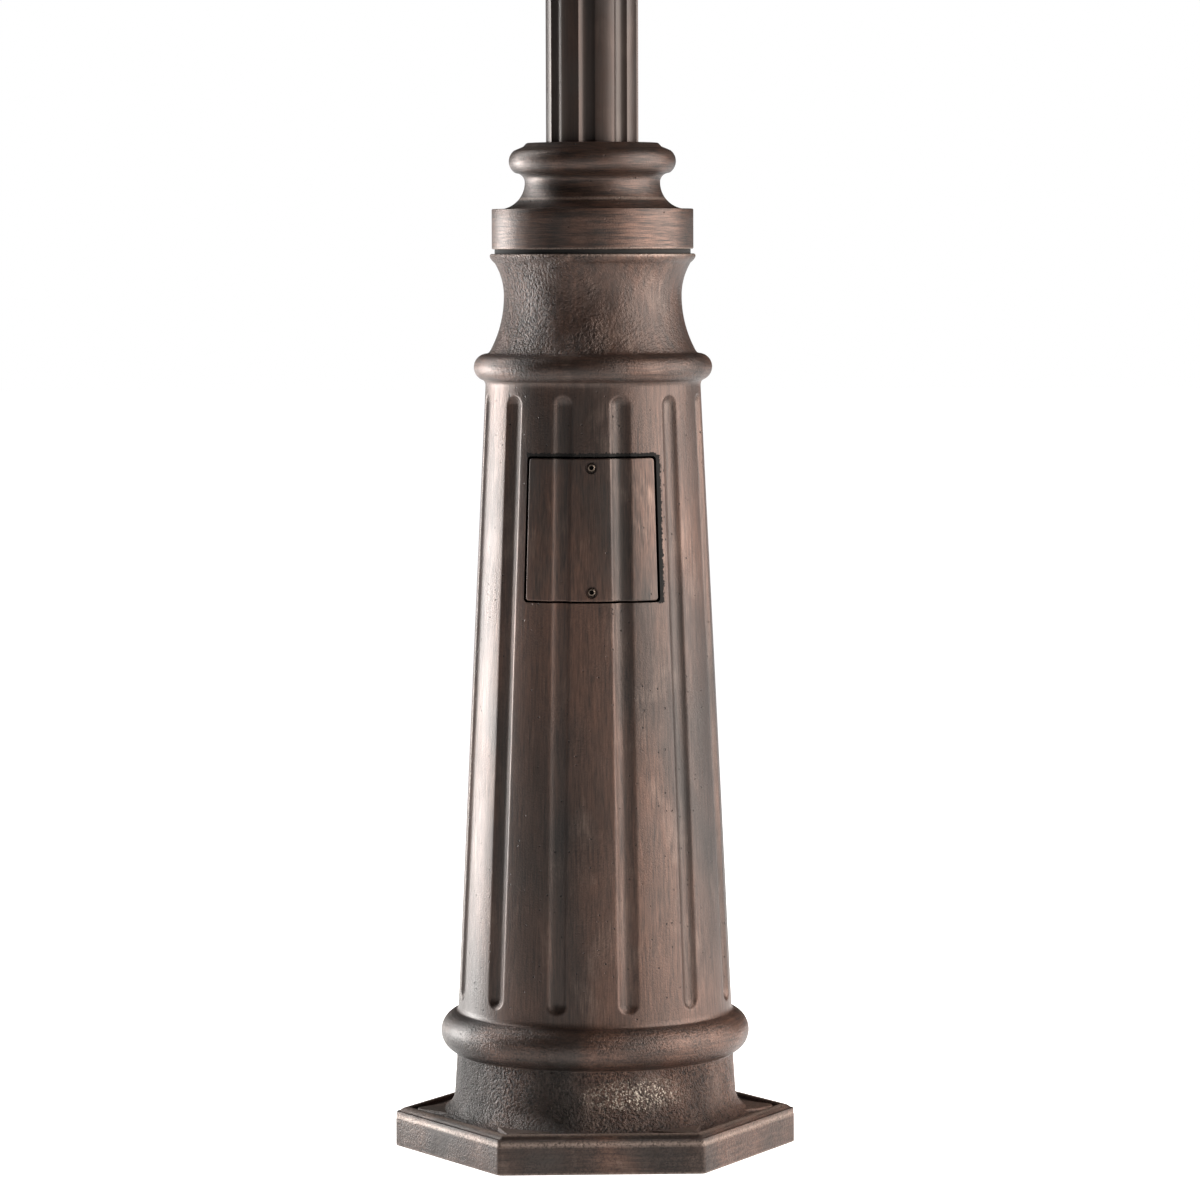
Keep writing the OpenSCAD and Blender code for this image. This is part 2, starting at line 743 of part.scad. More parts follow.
module movement_carrier() color(steel) difference() {
    facing("front") {
        intersection() {
            translate([0, 0, -carrier_t]) cylinder(r = drum_in - fit, h = 2 * carrier_t);
            translate([-carrier_w, -case_r, -carrier_t]) cube([2 * carrier_w, 2 * case_r, 2 * carrier_t]);
        }
        carrier_foot(1);
        carrier_foot(-1);
    }
    translate([-20, -30, head_z - case_r]) cube([40, 60, 60]);
    translate([0, 0, head_z + case_r - 40]) cylinder(r = stud_r + fit, h = 60);
    translate([-14, -14, head_z + drum_in - foot_t - fit - 24]) cube([28, 28, 24]);
    cradle_bolt_places() cylinder(r = flange_bolt_r + fit, h = 60);
}

module led_strips() color(cream)
    for (side = ["front", "rear"]) facing(side)
        for (x = [-1, 1]) translate([x * 104 - 7, -130, carrier_t]) cube([14, 260, 5]);

module led_driver() color(black)
    translate([-34, carrier_t - 2 * driver_out, driver_z])
        cube([68, 2 * (driver_out - carrier_t), driver_h]);

// ---------------------------------------------------------------- movement
gear_distance = 37.5;
cannon_teeth = 12;
wheel_teeth = 36;
pinion_teeth = 10;
hour_teeth = 40;
minute_module = 2 * gear_distance / (cannon_teeth + wheel_teeth);
hour_module = 2 * gear_distance / (pinion_teeth + hour_teeth);
arbor_r = 4;
pipe_r = 7;
running = 0.05;
box_half = 64;
box_wall = 3;
box_out = 44;
plate_t = 3;
train_out = box_out + plate_t + 1;
gear_t = 4;
hour_train_out = train_out + gear_t + 1;
hour_hand_out = dial_back + dial_t + 4;
minute_hand_out = hour_hand_out + hand_t + 4;
hub_t = 1;
nut_t = 5;
arbor_end = minute_hand_out + hand_t + hub_t + nut_t + 1;
start_minutes = 610;

module gear(teeth, size, thick) {
    pitch = 360 / teeth;
    root = size * (teeth / 2 - 1);
    tip = size * (teeth / 2 + 0.75);
    linear_extrude(thick) polygon([
        for (i = [0:teeth - 1], p = [[-0.3, root], [-0.11, tip], [0.11, tip], [0.3, root]])
            p[1] * [cos((i + p[0]) * pitch), sin((i + p[0]) * pitch)]
    ]);
}

module movement_case(side) color(black) facing(side) difference() {
    translate([-box_half, -box_half, carrier_t]) cube([2 * box_half, 2 * box_half, box_out - carrier_t]);
    translate([-box_half + box_wall, -box_half + box_wall, carrier_t + box_wall])
        cube([2 * (box_half - box_wall), 2 * (box_half - box_wall), box_out]);
}

module movement_plate(side) color(brass) facing(side) {
    difference() {
        translate([-box_half, -box_half, box_out]) cube([2 * box_half, 2 * box_half, plate_t]);
        translate([0, 0, box_out - 1]) cylinder(r = arbor_r + running, h = plate_t + 2);
    }
    translate([gear_distance, 0, box_out]) cylinder(r = 3, h = dial_back - box_out - 1);
}

motor_r = 30;
motor_out = 40;
module motor(side) color(steel) facing(side) difference() {
    union() {
        translate([0, 0, carrier_t + box_wall]) cylinder(r = motor_r, h = 24);
        translate([0, 0, carrier_t + box_wall]) cylinder(r = 10, h = motor_out - carrier_t - box_wall);
        translate([-motor_r - 8, -8, carrier_t + box_wall]) cube([2 * motor_r + 16, 16, 3]);
    }
    translate([0, 0, 20]) cylinder(r = arbor_r + running, h = motor_out);
}

module minute_arbor(side) color(steel) facing(side) {
    translate([0, 0, 22]) cylinder(r = arbor_r, h = arbor_end - 22);
    translate([0, 0, train_out]) gear(cannon_teeth, minute_module, gear_t);
}

module intermediate_wheel(side) color(brass) facing(side) translate([gear_distance, 0, 0]) difference() {
    union() {
        translate([0, 0, train_out]) rotate([0, 0, 180 / wheel_teeth])
            gear(wheel_teeth, minute_module, gear_t);
        translate([0, 0, train_out + gear_t / 2]) gear(pinion_teeth, hour_module, gear_t * 1.5 + 1);
    }
    translate([0, 0, train_out - 1]) cylinder(r = 3 + running, h = 20);
}

module hour_wheel(side) color(brass) facing(side) difference() {
    union() {
        translate([0, 0, hour_train_out]) rotate([0, 0, 180 / hour_teeth])
            gear(hour_teeth, hour_module, gear_t);
        translate([0, 0, hour_train_out])
            cylinder(r = pipe_r, h = hour_hand_out + hand_t - hour_train_out + 1);
    }
    translate([0, 0, hour_train_out - 1]) cylinder(r = arbor_r + running, h = 60);
}

// Tapered hand with a counterweight tail and a round boss
module hand_blank(length, width, tail, boss, thick) {
    cylinder(r = boss, h = thick + hub_t);
    linear_extrude(thick) polygon([
        [-width / 2, 0], [-width * 0.8, length * 0.62], [0, length], [width * 0.8, length * 0.62],
        [width / 2, 0], [width * 0.75, -tail], [-width * 0.75, -tail]
    ]);
}

module hour_hand(side) color(black) facing(side) difference() {
    translate([0, 0, hour_hand_out]) rotate([0, 0, -start_minutes / 2])
        hand_blank(hour_len, 18, 45, 16, hand_t);
    cylinder(r = pipe_r + 0.02, h = 2 * hour_hand_out);
}

module minute_hand(side) color(black) facing(side) difference() {
    translate([0, 0, minute_hand_out]) rotate([0, 0, -start_minutes * 6])
        hand_blank(minute_len, 13, 62, 13, hand_t);
    cylinder(r = arbor_r + 0.02, h = 2 * minute_hand_out);
}

module hand_nut(side) color(brass) facing(side) difference() {
    translate([0, 0, minute_hand_out + hand_t + hub_t]) cylinder(r = 8, h = nut_t);
    cylinder(r = arbor_r + 0.02, h = 2 * minute_hand_out);
}

// ---------------------------------------------------------------- dial
module dial(side) color(cream) facing(side) difference() {
    translate([0, 0, dial_back]) cylinder(r = dial_r, h = dial_t);
    translate([0, 0, dial_back - 1]) cylinder(r = pipe_r + 3, h = dial_t + 2);
    around(6, 30) translate([dial_screw_pcr, 0, dial_back - 1]) cylinder(r = 2.6, h = dial_t + 2);
}

// Twelve bars and the minute ticks between them
mark_out = sight_r - 10;
module hour_marks(side) color(black) facing(side) translate([0, 0, dial_back + dial_t]) {
    around(12) translate([mark_out - 46, -5, 0]) cube([46, 10, 1]);
    around(60) translate([mark_out - 14, -1.5, 0]) cube([14, 3, 1]);
}

module dial_screws(side) color(steel) facing(side)
    around(6, 30) translate([dial_screw_pcr, 0, dial_back + dial_t])
        button_screw(2.5, 5, 3, dial_t + ledge_t);

// ---------------------------------------------------------------- bezel
bezel_gap = 0.6;
bezel_r = case_r + 5;
bezel_z = case_half + bezel_gap;
glass_r = sight_r + 13;
glass_z = bezel_z + bezel_t - 14;
gasket_r = glass_r + 3;

module bezel_outline() {
    front = bezel_z + bezel_t;
    round = 12;
    difference() {
        union() {
            translate([sight_r, bezel_z + 6]) square([bezel_r - sight_r - round, bezel_t - 6]);
            translate([sight_r + 4, bezel_z]) square([bezel_r - sight_r - 4, bezel_t - round]);
            bead(bezel_r - round, front - round, round);
        }
        translate([sight_r - 1, glass_z - 2]) square([gasket_r - sight_r + 1, glass_t + 4]);
        translate([sight_r - 1, bezel_z - 1]) square([gasket_r - sight_r - 3, glass_z - bezel_z]);
        translate([gasket_r + 4, bezel_z - 1]) square([bezel_r - gasket_r - 9, round]);
        bead(sight_r - 3, front + 3, 9);
    }
}

module bezel(side) color(bronze) facing(side) difference() {
    union() {
        rotate_extrude() bezel_outline();
        intersection() {
            h = 2 * knuckle_half - 1.2;
            union() {
                translate([hinge_x, h / 2, hinge_out]) rotate([90, 0, 0]) cylinder(r = hinge_r, h = h);
                translate([bezel_r - 10, -h / 2, hinge_out]) cube([hinge_x - bezel_r + 10, h, hinge_r]);
            }
            translate([bezel_r - 10, -h, bezel_z - 10]) cube([60, 2 * h, 40]);
        }
        translate([latch_x, 0, bezel_z + 2]) cylinder(r = 11, h = 12);
        translate([latch_x, -11, bezel_z + 2]) cube([-latch_x - bezel_r + 8, 22, 12]);
    }
    translate([hinge_x, 60, hinge_out]) rotate([90, 0, 0]) cylinder(r = hinge_pin_r + running, h = 120);
    translate([latch_x, 0, 0]) cylinder(r = latch_r + running, h = 2 * bezel_z);
}

module glass(side) color([0.8, 0.9, 0.92, 0.3]) facing(side)
    translate([0, 0, glass_z]) cylinder(r = glass_r, h = glass_t);

module glass_gasket(side) color(black) facing(side) rotate_extrude() difference() {
    translate([glass_r - 6, glass_z - 2]) square([gasket_r - glass_r + 6, glass_t + 4]);
    translate([glass_r - 7, glass_z]) square([7, glass_t]);
}

module hinge_pin(side) color(brass) facing(side)
    translate([hinge_x, hinge_half + 2, hinge_out]) rotate([90, 0, 0]) {
        cylinder(r = hinge_pin_r, h = 2 * hinge_half + 4);
        translate([0, 0, -3]) cylinder(r = 6, h = 4.4);
    }

// Turn latch: knob in front of the bezel's lug, arm behind it
module latch(side) color(brass) facing(side) translate([latch_x, 0, 0]) {
    translate([0, 0, keeper_out - 6]) {
        cylinder(r = latch_r, h = bezel_z + 22 - keeper_out);
        cylinder(r = 7, h = bezel_z + 7.8 - keeper_out);
        translate([-5, 0, 0]) cube([10, 20, 5]);
    }
    translate([0, 0, bezel_z + 14.2]) {
        cylinder(r = 9, h = 6);
        translate([-3, -16, 0]) cube([6, 32, 9]);
    }
}

base_casting();
access_cover();
cover_screws();
base_collar();
collar_set_screws();
anchor_plate();
post_socket();
socket_screws();
fluted_post();
wiring_bracket();
terminal_block();
fuse_holder();
earth_lug();
cable_grommet();
riser_cable();
post_capital();
capital_set_screws();
head_saddle();
saddle_bolts();
case_drum();
latch_keepers();
finial();
finial_stud();
movement_carrier();
led_strips();
led_driver();
dial("front");  // front_dial
hour_marks("front");  // front_hour_marks
dial_screws("front");  // front_dial_screws
bezel("front");  // front_bezel
glass("front");  // front_glass
glass_gasket("front");  // front_glass_gasket
hinge_pin("front");  // front_hinge_pin
latch("front");  // front_latch
movement_case("front");  // front_movement_case
movement_plate("front");  // front_movement_plate
motor("front");  // front_motor
minute_arbor("front");  // front_minute_arbor
intermediate_wheel("front");  // front_intermediate_wheel
hour_wheel("front");  // front_hour_wheel
minute_hand("front");  // front_minute_hand
hour_hand("front");  // front_hour_hand
hand_nut("front");  // front_hand_nut
dial("rear");  // rear_dial
hour_marks("rear");  // rear_hour_marks
dial_screws("rear");  // rear_dial_screws
bezel("rear");  // rear_bezel
glass("rear");  // rear_glass
glass_gasket("rear");  // rear_glass_gasket
hinge_pin("rear");  // rear_hinge_pin
latch("rear");  // rear_latch
movement_case("rear");  // rear_movement_case
movement_plate("rear");  // rear_movement_plate
motor("rear");  // rear_motor
minute_arbor("rear");  // rear_minute_arbor
intermediate_wheel("rear");  // rear_intermediate_wheel
hour_wheel("rear");  // rear_hour_wheel
minute_hand("rear");  // rear_minute_hand
hour_hand("rear");  // rear_hour_hand
hand_nut("rear");  // rear_hand_nut
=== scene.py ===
# Two-face street clock: fluted cast pedestal, collar and post, with the clock head on top.
from math import asin, cos, pi, radians, sin, sqrt

import bmesh
import bpy
import numpy as np
from mathutils import Matrix, Vector


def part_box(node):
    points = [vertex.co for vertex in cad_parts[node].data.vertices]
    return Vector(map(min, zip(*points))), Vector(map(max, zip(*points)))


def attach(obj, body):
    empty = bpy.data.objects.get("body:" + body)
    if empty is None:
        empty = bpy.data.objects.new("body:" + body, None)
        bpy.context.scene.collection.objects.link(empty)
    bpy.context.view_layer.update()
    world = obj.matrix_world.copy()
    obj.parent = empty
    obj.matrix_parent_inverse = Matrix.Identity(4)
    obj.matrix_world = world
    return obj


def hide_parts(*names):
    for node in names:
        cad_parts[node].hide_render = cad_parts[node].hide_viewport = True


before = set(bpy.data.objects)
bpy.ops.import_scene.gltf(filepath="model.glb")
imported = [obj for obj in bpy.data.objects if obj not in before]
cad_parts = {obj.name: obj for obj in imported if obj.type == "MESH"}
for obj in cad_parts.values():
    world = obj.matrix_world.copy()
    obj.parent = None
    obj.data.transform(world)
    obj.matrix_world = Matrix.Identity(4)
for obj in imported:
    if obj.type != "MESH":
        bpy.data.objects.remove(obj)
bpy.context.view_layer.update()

mm = 0.001


# ---- small helpers
def addNode(tree, kind, inputs=None, **settings):
    node = tree.nodes.new(kind)
    for name, value in settings.items():
        setattr(node, name, value)
    for key, value in (inputs or {}).items():
        if isinstance(value, bpy.types.NodeSocket):
            tree.links.new(value, node.inputs[key])
        else:
            node.inputs[key].default_value = value
    return node


def linearColour(hexCode):
    parts = [int(hexCode[i:i + 2], 16) / 255 for i in (1, 3, 5)]
    return [c / 12.92 if c <= 0.04045 else ((c + 0.055) / 1.055) ** 2.4 for c in parts] + [1.0]


def arcPoints(centre, radius, start, end, steps):
    # start and end in degrees, counted from +r towards +z
    angles = [radians(start + (end - start) * i / steps) for i in range(steps + 1)]
    return [(centre[0] + radius * cos(a), centre[1] + radius * sin(a)) for a in angles]


def newObject(name, mesh):
    obj = bpy.data.objects.new(name, mesh)
    bpy.context.scene.collection.objects.link(obj)
    return obj


def applied(obj, name=None):
    # the evaluated object as a plain mesh, with its modifiers gone
    graph = bpy.context.evaluated_depsgraph_get()
    mesh = bpy.data.meshes.new_from_object(obj.evaluated_get(graph), depsgraph=graph)
    obj.modifiers.clear()
    obj.data = mesh
    mesh.name = name or obj.name
    return obj


def runTree(piece, tree, values):
    # sets a node tree's inputs by their sockets' identifiers, and makes its result the piece's mesh
    modifier = piece.modifiers.new(tree.name, "NODES")
    modifier.node_group = tree
    for socket in tree.interface.items_tree:
        if socket.in_out == "INPUT" and socket.name in values:
            modifier[socket.identifier] = values[socket.name]
    applied(piece)


def storeHollow(mesh, values):
    # how deep in a hollow each point lies, 0 to 1, which the finishes read
    mesh.attributes.new("hollow", "FLOAT", "POINT").data.foreach_set("value", values)


def faceOutwards(mesh):
    form = bmesh.new()
    form.from_mesh(mesh)
    bmesh.ops.remove_doubles(form, verts=form.verts, dist=2e-6)
    bmesh.ops.recalc_face_normals(form, faces=form.faces)
    if form.calc_volume(signed=True) < 0:
        bmesh.ops.reverse_faces(form, faces=form.faces)
    form.to_mesh(mesh)
    form.free()


def shadeSmooth(mesh, angle=32):
    mesh.shade_smooth()
    mesh.set_sharp_from_angle(angle=radians(angle))


def meshFrom(name, verts, faces):
    mesh = bpy.data.meshes.new(name)
    mesh.from_pydata([Vector(v) for v in verts], [], faces)
    mesh.update()
    return mesh


# ---- turned castings with flutes: an outline swept round the axis, with round-ended flutes sunk in it
def buildTurnedTree():
    tree = bpy.data.node_groups.new("turnedAndFluted", "GeometryNodeTree")
    face = tree.interface
    face.new_socket("Outline", in_out="INPUT", socket_type="NodeSocketGeometry")
    for name, kind in (("Sectors", "Int"), ("Columns per sector", "Int"), ("First flute", "Float"),
                       ("Gather", "Float"), ("Flute radius", "Float"), ("Flute depth", "Float"),
                       ("Flute foot", "Float"), ("Flute top", "Float"), ("Edge softness", "Float")):
        face.new_socket(name, in_out="INPUT", socket_type="NodeSocket" + kind)
    face.new_socket("Material", in_out="INPUT", socket_type="NodeSocketMaterial")
    face.new_socket("Geometry", in_out="OUTPUT", socket_type="NodeSocketGeometry")
    given = addNode(tree, "NodeGroupInput").outputs

    def math(operation, a, b=0.0, c=0.0):
        return addNode(tree, "ShaderNodeMath", {0: a, 1: b, 2: c}, operation=operation).outputs[0]

    rows = addNode(tree, "GeometryNodeAttributeDomainSize", {0: given["Outline"]}).outputs["Point Count"]
    columns = math("MULTIPLY", given["Sectors"], given["Columns per sector"])
    grid = addNode(tree, "GeometryNodeMeshGrid", {
        "Size X": 1.0, "Size Y": 1.0, "Vertices X": math("ADD", columns, 1.0), "Vertices Y": rows})
    place = addNode(tree, "ShaderNodeSeparateXYZ", {0: addNode(tree, "GeometryNodeInputPosition").outputs[0]})
    column = math("ROUND", math("MULTIPLY", math("ADD", place.outputs[0], 0.5), columns))
    row = math("ROUND", math("MULTIPLY", math("ADD", place.outputs[1], 0.5), math("SUBTRACT", rows, 1.0)))

    outline = addNode(tree, "GeometryNodeSampleIndex", {
        "Geometry": given["Outline"], "Value": addNode(tree, "GeometryNodeInputPosition").outputs[0],
        "Index": row}, data_type="FLOAT_VECTOR")
    fluted = addNode(tree, "GeometryNodeSampleIndex", {
        "Geometry": given["Outline"], "Index": row,
        "Value": addNode(tree, "GeometryNodeInputNamedAttribute", {"Name": "fluted"}).outputs[0]}).outputs[0]
    point = addNode(tree, "ShaderNodeSeparateXYZ", {0: outline.outputs[0]}).outputs
    radius, height = point[0], point[2]

    # columns draw together at each flute's middle, so that its edges get the most of them
    share = math("DIVIDE", column, given["Columns per sector"])
    sector = math("FLOOR", math("ADD", share, 1e-4))
    across = math("SUBTRACT", math("SUBTRACT", share, sector), 0.5)
    cubed = math("MULTIPLY", math("POWER", math("ABSOLUTE", across), 3.0), math("SIGN", across))
    gathered = math("ADD", math("MULTIPLY", across, math("SUBTRACT", 1.0, given["Gather"])),
                    math("MULTIPLY", math("MULTIPLY", cubed, 4.0), given["Gather"]))
    step = math("DIVIDE", 2 * pi, given["Sectors"])
    offCentre = math("MULTIPLY", gathered, step)
    angle = math("ADD", math("ADD", math("MULTIPLY", sector, step), offCentre), given["First flute"])

    # distance from the flute's middle line, which stops short of its round ends
    sideways = math("MULTIPLY", math("SINE", offCentre), radius)
    endways = math("MAXIMUM", math("MAXIMUM", math("SUBTRACT", given["Flute foot"], height),
                                   math("SUBTRACT", height, given["Flute top"])), 0.0)
    away = math("SQRT", math("ADD", math("POWER", math("ABSOLUTE", sideways), 2.0),
                             math("POWER", endways, 2.0)))
    inside = math("MAXIMUM", math("SUBTRACT", math("POWER", given["Flute radius"], 2.0),
                                  math("POWER", away, 2.0)), 0.0)
    level = math("SUBTRACT", math("SQRT", inside),
                 math("SUBTRACT", given["Flute radius"], given["Flute depth"]))
    eased = math("SQRT", math("ADD", math("POWER", math("ABSOLUTE", level), 2.0),
                              math("POWER", given["Edge softness"], 2.0)))
    depth = math("MULTIPLY", math("MULTIPLY", math("ADD", level, eased), 0.5), fluted)
    carved = math("SUBTRACT", radius, depth)
    moved = addNode(tree, "ShaderNodeCombineXYZ", {
        0: math("MULTIPLY", carved, math("COSINE", angle)), 1: math("MULTIPLY", carved, math("SINE", angle)),
        2: height})

    stored = addNode(tree, "GeometryNodeStoreNamedAttribute", {
        "Geometry": grid.outputs[0], "Name": "hollow",
        "Value": math("DIVIDE", depth, math("MAXIMUM", given["Flute depth"], 1e-4))})
    placed = addNode(tree, "GeometryNodeSetPosition", {
        "Geometry": stored.outputs[0], "Position": moved.outputs[0]})
    closed = addNode(tree, "GeometryNodeMergeByDistance", {"Geometry": placed.outputs[0], "Distance": 1e-6})
    real = addNode(tree, "GeometryNodeRealizeInstances", {"Geometry": closed.outputs[0]})
    painted = addNode(tree, "GeometryNodeSetMaterial", {
        "Geometry": real.outputs[0], "Material": given["Material"]})
    addNode(tree, "NodeGroupOutput", {0: painted.outputs[0]})
    return tree


turnedTree = buildTurnedTree()


def turned(name, outline, material, sectors=12, columns=12, firstFlute=0.0, gather=0.0, fluteRadius=13.0,
           fluteDepth=0.0, fluteFoot=0.0, fluteTop=0.0, softness=0.8):
    # outline: closed loop of (radius, height, fluted) in millimetres
    loop = outline + outline[:1]
    mesh = bpy.data.meshes.new(name)
    edges = [(i, i + 1) for i in range(len(outline))]
    mesh.from_pydata([(radius * mm, 0, height * mm) for radius, height, _ in loop], edges, [])
    flag = mesh.attributes.new("fluted", "FLOAT", "POINT")
    flag.data.foreach_set("value", [fluted for _, _, fluted in loop])
    obj = newObject(name, mesh)
    runTree(obj, turnedTree, {
        "Sectors": sectors, "Columns per sector": columns, "First flute": radians(firstFlute),
        "Gather": float(gather), "Flute radius": fluteRadius * mm, "Flute depth": fluteDepth * mm,
        "Flute foot": fluteFoot * mm, "Flute top": fluteTop * mm, "Edge softness": softness * mm,
        "Material": material})
    faceOutwards(obj.data)
    shadeSmooth(obj.data)
    return obj


# ---- materials
def newMaterial(name, **shader):
    material = bpy.data.materials.new(name)
    material.use_nodes = True
    tree = material.node_tree
    principled = tree.nodes["Principled BSDF"]
    for key, value in shader.items():
        socket = principled.inputs[key.replace("_", " ")]
        socket.default_value = linearColour(value) if isinstance(value, str) else value
    return material, tree, principled


def patternPlace(tree, size):
    # object coordinates, stretched so that one unit of a pattern is size = (x, y, z) in millimetres
    spot = addNode(tree, "ShaderNodeTexCoord").outputs["Object"]
    return addNode(tree, "ShaderNodeMapping", {"Vector": spot, "Scale": [1000 / s for s in size]}).outputs[0]


def noise(tree, size, detail=3.0, rough=0.55, warp=0.0):
    return addNode(tree, "ShaderNodeTexNoise", {
        "Vector": patternPlace(tree, size), "Scale": 1.0, "Detail": detail, "Roughness": rough,
        "Distortion": warp}).outputs[0]


def between(tree, value, low, high, outLow=0.0, outHigh=1.0):
    return addNode(tree, "ShaderNodeMapRange", {
        "Value": value, "From Min": low, "From Max": high, "To Min": outLow, "To Max": outHigh}).outputs[0]


def mixColour(tree, share, first, second, blend="MIX"):
    node = addNode(tree, "ShaderNodeMix", data_type="RGBA", blend_type=blend)
    for socket, value in ((node.inputs[0], share), (node.inputs[6], first), (node.inputs[7], second)):
        if isinstance(value, bpy.types.NodeSocket):
            tree.links.new(value, socket)
        else:
            socket.default_value = linearColour(value) if isinstance(value, str) else value
    return node.outputs[2]


def mathNode(tree, operation, a, b=0.0):
    return addNode(tree, "ShaderNodeMath", {0: a, 1: b}, operation=operation).outputs[0]


def bump(tree, height, strength, distance, normal=None):
    inputs = {"Height": height, "Strength": strength, "Distance": distance}
    if normal is not None:
        inputs["Normal"] = normal
    return addNode(tree, "ShaderNodeBump", inputs).outputs[0]


bronzeLook = {
    "deep": "#1b1512",      # paint left in the strokes' valleys
    "brown": "#352a25",     # the body of the finish
    "copper": "#7d5a4a",    # rubbed-through warm metal colour
    "pale": "#a39186",      # the most rubbed spots, and the painted highlight along edges
    "verdigris": "#353635",  # cool grey-green that stays in hollows
    "sootAndShade": "#0b0908",       # soot in pits and joints, and the black of painted shade
    "chalk": "#b9b0a2",     # dry white bloom on the plain band
}
chalkPatch = {"right": 0.047, "halfWidth": 0.052, "height": 0.078, "halfHeight": 0.017}      # metres
openingCrust = {"slope": 0.695, "middle": 0.689, "half": 0.079}    # metres; the slope is across over out


